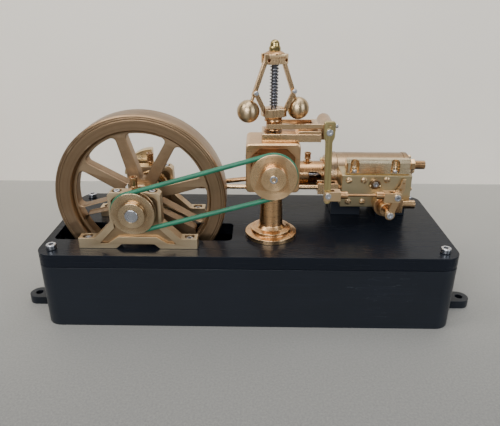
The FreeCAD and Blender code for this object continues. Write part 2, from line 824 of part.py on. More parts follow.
def make_valve_rod():
    wide = "(fork_gap + 2 * fork_cheek)"
    fork = block("fork_block", "fork_length", wide, "fork_tall", FORK_START, "eccentric_y - %s / 2" % wide,
                 "%s - fork_tall / 2" % CRANK_Z)
    slot = block("fork_slot", "fork_length - fork_web", "fork_gap", "2 * fork_tall", FORK_START,
                 "eccentric_y - fork_gap / 2", "%s - fork_tall" % CRANK_Z)
    stem = round_bar("valve_stem", "valve_rod_radius", "valve_rod_end - %s - fork_length" % FORK_START,
                     "%s + fork_length" % FORK_START, "eccentric_y", CRANK_Z, "right")
    node(join("valve_rod_solids", [cut("fork_cut", fork, [slot]), stem]), "valve_rod")


# ---------------------------------------------------------------------------------------------------------
# Connecting rod, crosshead and cylinder
# ---------------------------------------------------------------------------------------------------------
def make_connecting_rod():
    """Rod laid along -X from its small end, then tilted down to the crank pin."""
    pieces = [
        round_bar("rod_bar", "rod_radius", "rod_length", "-rod_length", 0, 0, "right"),
        round_bar("rod_big_end", "big_end_radius", "big_end_width", "-rod_length", "-big_end_width / 2", 0, "back"),
        round_bar("rod_small_end", "small_end_radius", "small_end_width", 0, "-small_end_width / 2", 0, "back"),
        round_bar("rod_crank_pin", "pin_radius", "pin_reach", "-rod_length", "-big_end_width / 2 - pin_reach", 0,
                  "back"),
        taper("rod_neck", "big_end_width / 2", "rod_radius", "rod_neck_length",
              "-rod_length + big_end_radius - rod_neck_bury", 0, 0, "right"),
    ]
    eye = round_bar("rod_eye", "wrist_radius + running_fit", "small_end_width", 0, "-small_end_width / 2", 0,
                    "back")
    rod = cut("rod_cut", join("rod_solids", pieces), [eye])
    put(rod, CROSSHEAD_X, "cylinder_y", CRANK_Z)
    tilt = math.degrees(math.asin(value("crank_throw * sin(crank_angle) / rod_length")))
    rod.Placement = FreeCAD.Placement(rod.Placement.Base, FreeCAD.Rotation(FreeCAD.Vector(0, -1, 0), tilt))
    node(rod, "connecting_rod")


def make_crosshead():
    body = round_bar("crosshead_drum", "crosshead_radius", "crosshead_length",
                     "%s - crosshead_length / 2" % CROSSHEAD_X, "cylinder_y", CRANK_Z, "right")
    slot_width = "(small_end_width + 2 * small_end_gap)"
    slot = block("crosshead_slot", "crosshead_length / 2 + small_end_radius + small_end_clearance", slot_width,
                 "3 * crosshead_radius", "%s - crosshead_length / 2" % CROSSHEAD_X,
                 "cylinder_y - %s / 2" % slot_width, "%s - 1.5 * crosshead_radius" % CRANK_Z)
    wrist = round_bar("crosshead_wrist", "wrist_radius", "2 * wrist_reach", CROSSHEAD_X,
                      "cylinder_y - wrist_reach", CRANK_Z, "back")
    node(join("crosshead_solids", [cut("crosshead_cut", body, [slot]), wrist]), "crosshead")
    rod_start = "(%s + crosshead_length / 2)" % CROSSHEAD_X
    piston_end = "(%s + piston_rod_length)" % rod_start
    node(join("piston_solids", [
        round_bar("piston_stem", "piston_rod_radius", "piston_rod_length", rod_start, "cylinder_y", CRANK_Z, "right"),
        round_bar("piston_head", "piston_radius", "piston_length", "%s - piston_length" % piston_end, "cylinder_y",
                  CRANK_Z, "right"),
    ]), "piston_rod")


def make_guide():
    """Trunk guide: a tube with a front window, an oil pad on top and a flange at the cylinder."""
    length = "(%s - %s)" % (CYLINDER_START, GUIDE_START)
    inner = "crosshead_radius + running_fit"
    solids = [
        round_bar("guide_tube", "guide_outer", length, GUIDE_START, "cylinder_y", CRANK_Z, "right"),
        round_bar("guide_ring", "guide_flange", "guide_flange_thickness",
                  "%s - guide_flange_thickness" % CYLINDER_START, "cylinder_y", CRANK_Z, "right"),
        round_bar("guide_lip", "guide_outer + guide_lip", "guide_lip_length", GUIDE_START, "cylinder_y", CRANK_Z, "right"),
        round_bar("guide_boss", "guide_pad", "guide_outer + guide_pad_rise", "%s + cup_place" % CROSSHEAD_X, "cylinder_y",
                  CRANK_Z),
    ]
    window_x = "(%s - window_place / 2)" % CROSSHEAD_X
    window_y = "(cylinder_y - guide_outer - guide_lip)"
    window_end = "window_height / 2"
    tools = [
        round_bar("guide_bore", inner, length, GUIDE_START, "cylinder_y", CRANK_Z, "right"),
        block("guide_window", "window_length", "guide_outer", "window_height", window_x, window_y,
              "%s - window_height / 2" % CRANK_Z),
        round_bar("window_near", window_end, "guide_outer", window_x, window_y, CRANK_Z, "back"),
        round_bar("window_far", window_end, "guide_outer", "%s + window_length" % window_x, window_y, CRANK_Z,
                  "back"),
    ]
    node(cut("guide_cut", join("guide_solids", solids), tools), "crosshead_guide")
    make_oil_cup("guide_oil_cup", "%s + cup_place" % CROSSHEAD_X, "cylinder_y",
                 "%s + guide_outer + guide_pad_rise" % CRANK_Z, "guide_cup_rise")


def make_cylinder():
    end = "(%s + cylinder_length)" % CYLINDER_START
    barrel_start = CHEST_START
    barrel_length = "(cylinder_length - 2 * cover_thickness)"
    barrel = round_bar("barrel_outer", "cylinder_outer", barrel_length, barrel_start, "cylinder_y", CRANK_Z, "right")
    bore = round_bar("barrel_bore", "piston_radius + running_fit", barrel_length, barrel_start, "cylinder_y",
                     CRANK_Z, "right")
    node(cut("barrel_cut", barrel, [bore]), "cylinder_barrel")
    front = join("front_cover_solids", [
        round_bar("front_cover_disc", COVER_RADIUS, "cover_thickness", CYLINDER_START, "cylinder_y", CRANK_Z,
                  "right"),
        round_bar("front_gland", "gland_radius", "gland_length", "%s - gland_length" % CYLINDER_START, "cylinder_y",
                  CRANK_Z, "right"),
    ])
    gland_bore = round_bar("front_cover_bore", "piston_rod_radius + running_fit",
                           "gland_length + cover_thickness", "%s - gland_length" % CYLINDER_START, "cylinder_y",
                           CRANK_Z, "right")
    node(cut("front_cover_cut", front, [gland_bore]), "cylinder_front_cover")
    rear = turned("rear_cover_body", [
        (0, 0),
        (COVER_RADIUS, 0),
        (COVER_RADIUS, "cover_thickness - cover_chamfer"),
        ("%s - cover_chamfer" % COVER_RADIUS, "cover_thickness"),
        (0, "cover_thickness"),
    ])
    put(rear, "%s - cover_thickness" % end, "cylinder_y", CRANK_Z, "right")
    node(rear, "cylinder_rear_cover")
    make_pedestal(end)
    make_chest(end)


def make_pedestal(end):
    start = "(%s + pedestal_inset)" % CYLINDER_START
    length = "(cylinder_length - 2 * pedestal_inset)"
    solid = block("pedestal_block", length, "pedestal_depth", "pedestal_height", start,
                  "cylinder_y - pedestal_depth / 2", "base_height")
    tools = [
        round_bar("pedestal_seat", "cylinder_outer", "cylinder_length", CYLINDER_START, "cylinder_y", CRANK_Z,
                  "right"),
        round_bar("pedestal_front_relief", COVER_RADIUS, "cover_thickness", CYLINDER_START, "cylinder_y", CRANK_Z,
                  "right"),
        round_bar("pedestal_rear_relief", COVER_RADIUS, "cover_thickness", "%s - cover_thickness" % end,
                  "cylinder_y", CRANK_Z, "right"),
        block("pedestal_gap", "pedestal_notch", "pedestal_depth", "pedestal_notch_rise",
              "%s + cylinder_length / 2 - pedestal_notch / 2" % CYLINDER_START, "cylinder_y - pedestal_depth / 2",
              "base_height"),
    ]
    node(cut("pedestal_cut", solid, tools), "cylinder_pedestal")


def make_chest(end):
    bottom = "(%s - chest_height)" % CHEST_TOP
    solid = block("chest_block", "chest_length", "chest_back - chest_front", "chest_height", CHEST_START,
                  "chest_front", bottom)
    tools = [
        round_bar("chest_seat", "cylinder_outer", "cylinder_length", CYLINDER_START, "cylinder_y", CRANK_Z, "right"),
        round_bar("chest_cover_relief", COVER_RADIUS, "cover_thickness", "%s - cover_thickness" % end,
                  "cylinder_y", CRANK_Z, "right"),
        round_bar("chest_gland_bore", "valve_rod_radius + running_fit", "chest_length / 2", CHEST_START,
                  "eccentric_y", CRANK_Z, "right"),
        round_bar("chest_valve_bore", "chest_bore", "chest_length - 2 * chest_wall", "%s + chest_wall" % CHEST_START, "eccentric_y",
                  CRANK_Z, "right"),
    ]
    node(cut("chest_cut", solid, tools), "valve_chest")
    cover = block("cover_sheet", "chest_length", "chest_cover_thickness", "chest_height", CHEST_START, CHEST_FACE,
                  bottom)
    node(cover, "valve_chest_cover")
    make_manifold()
    make_throttle()


def make_manifold():
    """Exhaust manifold: a chamfered bar on the chest, notched for two cap screws."""
    chamfer = "manifold_chamfer"
    edge = "manifold_base_chamfer"
    bar = plate("manifold_bar", [
        (0, edge),
        (edge, 0),
        ("manifold_depth - %s" % edge, 0),
        ("manifold_depth", edge),
        ("manifold_depth", "manifold_height - %s" % chamfer),
        ("manifold_depth - %s" % chamfer, "manifold_height"),
        (chamfer, "manifold_height"),
        (0, "manifold_height - %s" % chamfer),
    ], "manifold_length")
    put(bar, MANIFOLD_START, "manifold_front", CHEST_TOP)
    bar.Placement = FreeCAD.Placement(bar.Placement.Base, FreeCAD.Rotation(FreeCAD.Vector(1, 1, 1), 120))
    tools = []
    for place in ("pocket_left", "manifold_length - pocket_right"):
        tools.append(round_bar("manifold_pocket", "pocket_radius", "manifold_height",
                               "%s + %s" % (MANIFOLD_START, place), "manifold_front + pocket_setback",
                               "%s + pocket_floor" % CHEST_TOP))
    node(cut("manifold_cut", bar, tools), "exhaust_manifold")
    manifold_end = "(%s + manifold_length)" % MANIFOLD_START
    nut = add("Part::Prism", "exhaust_nut_prism", Circumradius="exhaust_nut", Height="exhaust_nut_length")
    nut.Polygon = 6
    put(nut, manifold_end, EXHAUST_Y, EXHAUST_Z, "right")
    pipe = round_bar("exhaust_tube", "exhaust_radius", "exhaust_length", "%s + exhaust_nut_length" % manifold_end,
                     EXHAUST_Y, EXHAUST_Z, "right")
    hollow = round_bar("exhaust_bore", "exhaust_radius - pipe_wall", "exhaust_length",
                       "%s + exhaust_nut_length" % manifold_end, EXHAUST_Y, EXHAUST_Z, "right")
    node(cut("exhaust_cut", join("exhaust_solids", [nut, pipe]), [hollow]), "exhaust_pipe")


def make_throttle():
    solids = [
        round_bar("throttle_drum", "throttle_radius", "throttle_length", "throttle_x",
                  "%s - throttle_length" % CHEST_FACE, THROTTLE_Z, "back"),
        round_bar("throttle_nose", "throttle_boss", "throttle_boss_length", "throttle_x",
                  "%s - throttle_length - throttle_boss_length" % CHEST_FACE, THROTTLE_Z, "back"),
        block("throttle_block", "throttle_block_length", "throttle_block_depth", "throttle_block_height",
              "throttle_x", "%s - throttle_block_depth" % CHEST_FACE, "%s - throttle_block_height / 2" % THROTTLE_Z),
    ]
    spindle_hole = round_bar("throttle_hole", "throttle_spindle + running_fit", "throttle_length", "throttle_x",
                             "%s - throttle_length - throttle_boss_length" % CHEST_FACE, THROTTLE_Z, "back")
    node(cut("throttle_cut", join("throttle_solids", solids), [spindle_hole]), "throttle_valve")
    inlet_x = "(throttle_x + throttle_block_length)"
    inlet_y = "(%s - throttle_block_depth / 2)" % CHEST_FACE
    tube = round_bar("inlet_tube", "inlet_radius", "inlet_length", inlet_x, inlet_y, THROTTLE_Z, "right")
    hollow = round_bar("inlet_bore", "inlet_radius - pipe_wall", "inlet_length", inlet_x, inlet_y, THROTTLE_Z,
                       "right")
    node(cut("inlet_cut", tube, [hollow]), "steam_inlet_pipe")


# ---------------------------------------------------------------------------------------------------------
# Governor stand and governor
# ---------------------------------------------------------------------------------------------------------
def make_stand():
    foot = "column_foot_height"
    ring = "(column_foot_height + column_ring_height)"
    column = turned("column_body", [
        (0, 0),
        ("column_foot", 0),
        ("column_foot", foot),
        ("column_ring", "%s + column_ring_chamfer" % foot),
        ("column_ring", ring),
        ("column_bottom + column_flare", "%s + column_ring_chamfer" % ring),
        ("column_bottom", "%s + column_flare_rise" % ring),
        ("column_top", "column_height"),
        (0, "column_height"),
    ])
    node(put(column, "governor_x", "governor_y", "base_height"), "governor_column")
    case = rounded_block("gearbox_case", "gearbox_width", "gearbox_depth", "gearbox_height", "gearbox_corner",
                         "governor_x", "governor_y", GEARBOX_BOTTOM)
    half = "(gearbox_width / 2 - gearbox_rim)"
    tall = "(gearbox_height - 2 * gearbox_rim)"
    bevel = "gearbox_bevel"
    relief = plate("gearbox_relief_body", [
        ("-%s + %s" % (half, bevel), 0),
        ("%s - %s" % (half, bevel), 0),
        (half, bevel),
        (half, "%s - %s" % (tall, bevel)),
        ("%s - %s" % (half, bevel), tall),
        ("-%s + %s" % (half, bevel), tall),
        ("-%s" % half, "%s - %s" % (tall, bevel)),
        ("-%s" % half, bevel),
    ], "gearbox_relief")
    put(relief, "governor_x", "%s + gearbox_relief" % GEARBOX_FRONT, "%s + gearbox_rim" % GEARBOX_BOTTOM, "front")
    tools = [
        relief,
        round_bar("gearbox_side_bore", "driven_shaft + running_fit", "driven_seat", "governor_x", GEARBOX_FRONT,
                  DRIVEN_Z, "back"),
        round_bar("gearbox_top_bore", "spindle_radius + running_fit", "spindle_seat", "governor_x", "governor_y",
                  "%s - spindle_seat" % GEARBOX_TOP),
    ]
    node(cut("gearbox_cut", case, tools), "governor_gearbox")
    bracket = join("bracket_solids", [
        block("bracket_plate", "bracket_overhang + bracket_end", "bracket_depth", "bracket_height",
              "governor_x - bracket_overhang", "governor_y - bracket_depth / 2", GEARBOX_TOP),
        block("bracket_web", "bracket_reach - bracket_end + bracket_lap", "governor_y + bracket_depth / 2 - barrel_front",
              "cross_shaft_rise", "governor_x + bracket_end - bracket_lap", "barrel_front", GEARBOX_TOP),
        round_bar("bracket_barrel", "barrel_radius", "barrel_back - barrel_front", CROSS_X, "barrel_front", CROSS_Z,
                  "back"),
    ])
    bores = [
        round_bar("barrel_bore_tool", "cross_shaft_radius + running_fit", "barrel_back - barrel_front", CROSS_X,
                  "barrel_front", CROSS_Z, "back"),
        round_bar("bracket_hole", "spindle_radius + running_fit", "bracket_height", "governor_x", "governor_y",
                  GEARBOX_TOP),
    ]
    node(cut("bracket_cut", bracket, bores), "governor_bracket")


def make_driven_pulley():
    seat = "(%s + driven_seat - shaft_end_gap)" % GEARBOX_FRONT
    profile = pulley_profile("driven_pitch", "pulley_hub_face - belt_y", "%s - belt_y" % seat, "driven_hub", 0)
    profile = profile[:-2] + [
        ("driven_hub", "pulley_width / 2 + driven_collar"),
        ("driven_shaft", "pulley_width / 2 + driven_collar"),
        ("driven_shaft", "%s - belt_y" % seat),
        (0, "%s - belt_y" % seat),
    ]
    body = turned("driven_pulley_body", profile)
    node(put(body, "governor_x", "belt_y", DRIVEN_Z, "back"), "governor_pulley")


def turn_about(thing, turn, lean):
    """Lean an object outwards about its own Y axis, then turn it about the governor's axis."""
    rotation = FreeCAD.Rotation(FreeCAD.Vector(0, 0, 1), turn).multiply(
        FreeCAD.Rotation(FreeCAD.Vector(0, -1, 0), lean))
    thing.Placement = FreeCAD.Placement(thing.Placement.Base, rotation)
    return thing


def make_spindle():
    spindle_bottom = "(%s - spindle_seat + shaft_end_gap)" % GEARBOX_TOP
    cap_top = "(%s + cap_height + cap_cone)" % CAP_BOTTOM
    node(round_bar("spindle_bar", "spindle_radius", "%s - %s" % (cap_top, spindle_bottom), "governor_x",
                   "governor_y", spindle_bottom), "governor_spindle")
    cap = turned("cap_turning_body", [
        ("spindle_radius", 0),
        ("cap_radius", 0),
        ("cap_radius", "cap_height"),
        ("cap_neck", "cap_height + cap_cone"),
        ("spindle_radius", "cap_height + cap_cone"),
    ])
    slots = []
    pins = []
    for side in (-1, 1):
        outward = "arm_slot_start" if side > 0 else "-2 * cap_radius - arm_slot_start"
        slots.append(block("cap_slot", "2 * cap_radius", "arm_slot", "cap_height + 2 * cap_cone", outward,
                           "-arm_slot / 2", "-cap_cone"))
        pins.append(round_bar("cap_pin", "pivot_pin", "arm_slot + 2 * cap_pin_bury", "%d * arm_pivot_offset" % side,
                              "-arm_slot / 2 - cap_pin_bury", "arm_pivot_rise", "back"))
    slotted = cut("cap_cut", cap, slots)
    whole = put(join("cap_solids", [slotted] + pins), "governor_x", "governor_y", CAP_BOTTOM)
    node(turn_about(whole, value("governor_turn"), 0), "governor_cap")
    dome = turned("acorn_body", [
        (0, 0),
        ("acorn_radius", 0),
        ("acorn_radius", "acorn_collar_rise"),
        ("acorn_neck", "acorn_neck_rise"),
        ("acorn_neck", "acorn_shoulder_rise"),
        ("acorn_crown", "acorn_crown_rise"),
        (0, "acorn_height"),
    ])
    node(put(dome, "governor_x", "governor_y", cap_top), "acorn_nut")


def make_ball_arms():
    for side, label in ((-1, "left"), (1, "right")):
        turn = value("governor_turn") + (180 if side < 0 else 0)
        near = -1 if side > 0 else 1
        heading = "governor_turn" if side > 0 else "governor_turn + 180"
        bar = round_bar(label + "_arm_bar", "arm_radius", "arm_length", 0, 0, "-arm_length")
        eye = round_bar(label + "_arm_eye", "arm_eye", "arm_eye_width", 0, "-arm_eye_width / 2", 0, "back")
        ball = put(add("Part::Sphere", label + "_ball_sphere", Radius="ball_radius"), 0, 0, "-arm_length")
        pin_length = "(link_offset + link_thickness / 2 + pivot_pin_end)"
        pin = round_bar(label + "_arm_pin", "pivot_pin", pin_length, 0, 0, "-link_pivot",
                        "back" if near > 0 else "front")
        hole = round_bar(label + "_arm_hole", "pivot_pin + running_fit", "arm_eye_width", 0, "-arm_eye_width / 2", 0,
                         "back")
        arm = cut(label + "_arm_cut", join(label + "_arm_solids", [bar, eye, ball, pin]), [hole])
        put(arm, "governor_x + arm_pivot_offset * cos(%s)" % heading,
            "governor_y + arm_pivot_offset * sin(%s)" % heading, ARM_PIVOT_Z)
        node(turn_about(arm, turn, value("arm_lean")), "ball_arm_" + label)
        make_link(label, turn, heading, near)


def make_link(label, turn, heading, near):
    """Link from a ball arm down to the sleeve, on the near side of the arm."""
    side_y = "(%d * link_offset - link_thickness / 2)" % near
    bar = block(label + "_link_bar", "link_width", "link_thickness", "link_length", "-link_width / 2", side_y,
                "-link_length")
    ends = [round_bar(label + "_link_end", "link_width / 2", "link_thickness", 0, side_y, z, "back")
            for z in (0, "-link_length")]
    hole = round_bar(label + "_link_hole", "pivot_pin + running_fit", "link_thickness", 0, side_y, 0, "back")
    link = cut(label + "_link_cut", join(label + "_link_solids", [bar] + ends), [hole])
    put(link, "governor_x + %s * cos(%s)" % (LINK_PIVOT_OUT, heading),
        "governor_y + %s * sin(%s)" % (LINK_PIVOT_OUT, heading), LINK_PIVOT_Z)
    node(turn_about(link, turn, -value(LINK_LEAN)), "link_" + label)


def make_sleeve():
    head_bottom = "(sleeve_length - sleeve_head_height)"
    bore = "spindle_radius + running_fit"
    sleeve = turned("sleeve_body", [
        (bore, 0),
        ("sleeve_collar", 0),
        ("sleeve_collar", "sleeve_collar_height"),
        ("sleeve_neck", "sleeve_collar_height"),
        ("sleeve_neck", "%s - sleeve_cone" % head_bottom),
        ("sleeve_waist", "%s - sleeve_cone" % head_bottom),
        ("sleeve_head", head_bottom),
        ("sleeve_head", "sleeve_length"),
        (bore, "sleeve_length"),
    ])
    slots = []
    for side in (-1, 1):
        start = "sleeve_slot_start" if side > 0 else "-sleeve_slot_start - sleeve_head"
        slots.append(block("sleeve_slot", "sleeve_head", "link_slot", "sleeve_slot_floor + sleeve_pivot_inset",
                           start, "-link_offset - link_slot / 2",
                           "sleeve_length - sleeve_pivot_inset - sleeve_slot_floor"))
    whole = put(cut("sleeve_cut", sleeve, slots), "governor_x", "governor_y", SLEEVE_BOTTOM)
    node(turn_about(whole, value("governor_turn"), 0), "governor_sleeve")
    spring_bottom = "(%s + spring_gap)" % SLEEVE_TOP
    length = "(%s - spring_gap - %s)" % (CAP_BOTTOM, spring_bottom)
    outer = round_bar("spring_outer", "spring_radius", length, "governor_x", "governor_y", spring_bottom)
    inner = round_bar("spring_inner", "spring_radius - spring_wire", length, "governor_x", "governor_y",
                      spring_bottom)
    node(cut("spring_cut", outer, [inner]), "governor_spring")


# ---------------------------------------------------------------------------------------------------------
# Governor linkage to the throttle
# ---------------------------------------------------------------------------------------------------------
def make_fork():
    """Fork lever: two arms beside the sleeve, joined by a bridge, on a hub at the cross shaft."""
    arm_z = "(%s + fork_arm_rise)" % SLEEVE_BOTTOM
    arm_bottom = "(%s - fork_arm_height / 2)" % arm_z
    tip_x = "(governor_x - fork_tip)"
    bridge_x = "(%s - fork_bridge_inset)" % CROSS_X
    back_arm = "(governor_y + sleeve_neck + fork_side_gap)"
    pieces = [
        block("fork_front_arm", "%s - %s" % (CROSS_X, tip_x), "fork_arm_thickness", "fork_arm_height", tip_x,
              FORK_FRONT, arm_bottom),
        block("fork_back_arm", "%s + fork_bridge_length - %s" % (bridge_x, tip_x), "fork_arm_thickness",
              "fork_arm_height", tip_x, back_arm, arm_bottom),
        block("fork_bridge", "fork_bridge_length", "%s + fork_arm_thickness - %s" % (back_arm, FORK_FRONT),
              "fork_arm_height", bridge_x, FORK_FRONT, arm_bottom),
        round_bar("fork_hub_disc", "fork_hub", "fork_arm_thickness", CROSS_X, FORK_FRONT, CROSS_Z, "back"),
    ]
    bore = round_bar("fork_bore", "cross_shaft_radius", "fork_arm_thickness", CROSS_X, FORK_FRONT, CROSS_Z, "back")
    node(cut("fork_lever_cut", join("fork_solids", pieces), [bore]), "fork_lever")
    node(round_bar("cross_shaft_bar", "cross_shaft_radius", "barrel_back - %s" % LEVER_FRONT, CROSS_X, LEVER_FRONT,
                   CROSS_Z, "back"), "cross_shaft")
    foot_z = "(%s - %s - lever_below_rod)" % (PUSH_ROD_Z, CROSS_Z)
    lever = plate("governor_lever_body", [
        ("-lever_head / 2", "-lever_head_down"),
        ("-lever_width / 2", "-lever_head_down - lever_shoulder"),
        ("lever_lean - lever_width / 2", "%s + lever_width / 2" % foot_z),
        ("lever_lean - lever_width / 4", foot_z),
        ("lever_lean + lever_width / 4", foot_z),
        ("lever_lean + lever_width / 2", "%s + lever_width / 2" % foot_z),
        ("lever_width / 2", "-lever_head_down - lever_shoulder"),
        ("lever_head / 2", "-lever_head_down"),
        ("lever_head / 2", "lever_head_up"),
        ("-lever_head / 2", "lever_head_up"),
    ], "lever_thickness", [(0, 0, "cross_shaft_radius")])
    node(put(lever, CROSS_X, "%s + lever_thickness" % LEVER_FRONT, CROSS_Z, "front"), "governor_lever")


def make_clevis(label, pin_x, pin_z, side, inset):
    """A clevis round a flat bar at pin_x, with a ferrule on the push rod's side."""
    wide = "(lever_thickness + 2 * clevis_gap + 2 * clevis_cheek)"
    start = "(%s - %s)" % (pin_x, inset) if side > 0 else "(%s + %s - clevis_length)" % (pin_x, inset)
    solid = block(label + "_clevis_block", "clevis_length", wide, "clevis_height", start,
                  "%s - %s / 2" % (LEVER_Y, wide), "%s - clevis_height / 2" % pin_z)
    slot_start = start if side > 0 else "%s + clevis_web" % start
    slot = block(label + "_clevis_slot", "clevis_length - clevis_web", "lever_thickness + 2 * clevis_gap",
                 "2 * clevis_height", slot_start, "%s - lever_thickness / 2 - clevis_gap" % LEVER_Y,
                 "%s - clevis_height" % pin_z)
    ferrule_start = "(%s + clevis_length)" % start if side > 0 else "(%s - ferrule_length)" % start
    ferrule = round_bar(label + "_ferrule", "ferrule_radius", "ferrule_length", ferrule_start, LEVER_Y, PUSH_ROD_Z,
                        "right")
    return [cut(label + "_clevis_cut", solid, [slot]), ferrule], ferrule_start


def make_push_rod():
    near, near_ferrule = make_clevis("near", LEVER_FOOT_X, PUSH_ROD_Z, 1, "clevis_inset")
    far, far_ferrule = make_clevis("far", THROTTLE_TOP_X, THROTTLE_TIP_Z, -1, "far_clevis_inset")
    rod = round_bar("push_rod_bar", "push_rod_radius", "%s - %s" % (far_ferrule, near_ferrule), near_ferrule, LEVER_Y,
                    PUSH_ROD_Z, "right")
    node(join("push_rod_solids", near + [rod] + far), "push_rod")
    boss_front = "(%s - throttle_length - throttle_boss_length)" % CHEST_FACE
    arm_back = "(%s + arm_thickness / 2)" % LEVER_Y
    turn = FreeCAD.Rotation(FreeCAD.Vector(0, 1, 0), value("throttle_arm_angle"))
    arm = join("throttle_arm_solids", [
        block("throttle_arm_bar", "2 * throttle_arm_half", "arm_thickness", "throttle_arm", "-throttle_arm_half",
              "-arm_thickness / 2", 0),
        round_bar("throttle_arm_base", "throttle_arm_root", "arm_thickness", 0, "-arm_thickness / 2", 0, "back"),
        round_bar("throttle_arm_tip", "throttle_arm_eye", "arm_thickness", 0, "-arm_thickness / 2", "throttle_arm", "back"),
        round_bar("throttle_arm_spindle", "throttle_spindle",
                  "%s - %s + throttle_length - throttle_spindle_end" % (boss_front, arm_back),
                  0, "arm_thickness / 2", 0, "back"),
    ])
    put(arm, "throttle_x", LEVER_Y, THROTTLE_Z)
    arm.Placement = FreeCAD.Placement(arm.Placement.Base, turn)
    node(arm, "throttle_lever")


def write_parts():
    """Recompute, refuse anything that failed, and write one file a sub-part."""
    document.recompute()
    for thing in document.Objects:
        if "Invalid" in thing.State or "Error" in thing.State:
            raise RuntimeError("%s failed: %s" % (thing.Label, thing.State))
    for part in parts:
        if part.Shape.isNull() or not part.Shape.isValid() or not part.Shape.Solids:
            raise RuntimeError("%s has no valid solid" % part.Label)
    os.makedirs("parts", exist_ok=True)
    for part in parts:
        part.Shape.exportStep("parts/%s.step" % part.Label)
    print("wrote %d sub-parts" % len(parts))


make_base_box()
make_top_plate()
make_bearing("front_bearing", "front_bearing_y")
make_bearing("rear_bearing", "rear_bearing_y")
bearing_top = "(base_height + bearing_rise)"
make_oil_cup("front_oil_cup", "crank_x", "front_bearing_y", bearing_top, "oil_cup_rise")
make_oil_cup("rear_oil_cup", "crank_x + rear_cup_offset", "rear_bearing_y", bearing_top, "oil_cup_rise")
make_crank_line()
make_belt()
make_eccentric_rod()
make_valve_rod()
make_connecting_rod()
make_crosshead()
make_guide()
make_cylinder()
make_stand()
make_driven_pulley()
make_spindle()
make_ball_arms()
make_sleeve()
make_fork()
make_push_rod()
write_parts()
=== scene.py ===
import json
from math import asin, atan2, cos, pi, radians, sin, sqrt

import bmesh
import bpy
from mathutils import Matrix, Vector
from mathutils.geometry import tessellate_polygon

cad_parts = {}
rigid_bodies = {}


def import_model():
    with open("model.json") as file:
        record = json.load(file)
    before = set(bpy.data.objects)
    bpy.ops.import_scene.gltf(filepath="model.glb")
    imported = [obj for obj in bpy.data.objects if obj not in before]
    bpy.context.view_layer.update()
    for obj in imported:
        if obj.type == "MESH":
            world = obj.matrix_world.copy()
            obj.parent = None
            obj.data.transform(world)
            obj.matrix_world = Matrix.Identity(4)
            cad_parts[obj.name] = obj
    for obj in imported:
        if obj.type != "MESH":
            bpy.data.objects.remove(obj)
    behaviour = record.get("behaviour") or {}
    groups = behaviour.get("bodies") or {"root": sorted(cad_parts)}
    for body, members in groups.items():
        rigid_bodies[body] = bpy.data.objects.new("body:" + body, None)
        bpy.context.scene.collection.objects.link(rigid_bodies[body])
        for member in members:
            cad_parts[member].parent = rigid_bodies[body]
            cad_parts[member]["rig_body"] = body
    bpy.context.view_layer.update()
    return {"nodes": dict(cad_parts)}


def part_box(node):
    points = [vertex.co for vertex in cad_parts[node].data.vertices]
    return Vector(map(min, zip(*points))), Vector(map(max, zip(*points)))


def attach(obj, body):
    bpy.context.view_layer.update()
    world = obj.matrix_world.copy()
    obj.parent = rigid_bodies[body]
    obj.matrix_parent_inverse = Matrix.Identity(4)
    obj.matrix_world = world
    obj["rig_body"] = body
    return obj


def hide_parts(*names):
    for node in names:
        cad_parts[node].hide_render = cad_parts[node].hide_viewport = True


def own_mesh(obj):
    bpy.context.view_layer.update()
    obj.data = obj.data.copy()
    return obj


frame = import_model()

# The row frame: metres, origin at the bottom centre of the base, +X towards the cylinder, -Y towards the
# belt side, +Z up. Shapes below are written in millimetres.
MM = 0.001
NODES = frame["nodes"]
SCENE = bpy.context.scene

CRANK = (-60.0, 0.0, 68.0)
CYLINDER_AXIS = (0.0, 24.0, 68.0)
GOVERNOR = (13.0, -16.5, 0.0)
GOVERNOR_TURN = radians(19.0)
FLYWHEEL_Y = -14.2
PLATE_TOP = 45.0
PLATE_LOW = 37.3
SHADOW_GAP = 0.45  # the lid stands this far above the box's edge, which shows as a dark seam
BEARINGS = {"front_bearing": -33.2, "rear_bearing": 9.3}
SHAFT_BORE = 3.55
FOOT_SEAT, CAP_SEAT = 48.4, 76.6  # heights of the seats of the bearings' screws
CHEST_FRONT = -5.2
MANIFOLD_SEAT = 78.9
PULLEY = (13.0, -44.1, 88.7)
THROTTLE = (78.4, -25.1, 61.1)
PUSH_ROD = (0.0, -24.0, 72.63)
LEVER = (42.0, 0.0, 107.8)
ARM_PIVOT, ARM_PIVOT_Z = 4.6, 143.0  # out from the governor's axis, and up
WALL_Y, FLOOR_REACH = 190.0, 1500.0

X_AXIS, Y_AXIS, Z_AXIS = (1.0, 0.0, 0.0), (0.0, 1.0, 0.0), (0.0, 0.0, 1.0)
LEFT, FORWARD = (-1.0, 0.0, 0.0), (0.0, -1.0, 0.0)
FRONT_WAYS = Matrix((X_AXIS, Z_AXIS, Y_AXIS)).transposed()  # outlines in X and Z, heights in Y
LENGTH_WAYS = Matrix((Y_AXIS, Z_AXIS, X_AXIS)).transposed()  # outlines in Y and Z, heights in X
GOVERNOR_WAYS = Matrix.Rotation(GOVERNOR_TURN, 3, "Z")


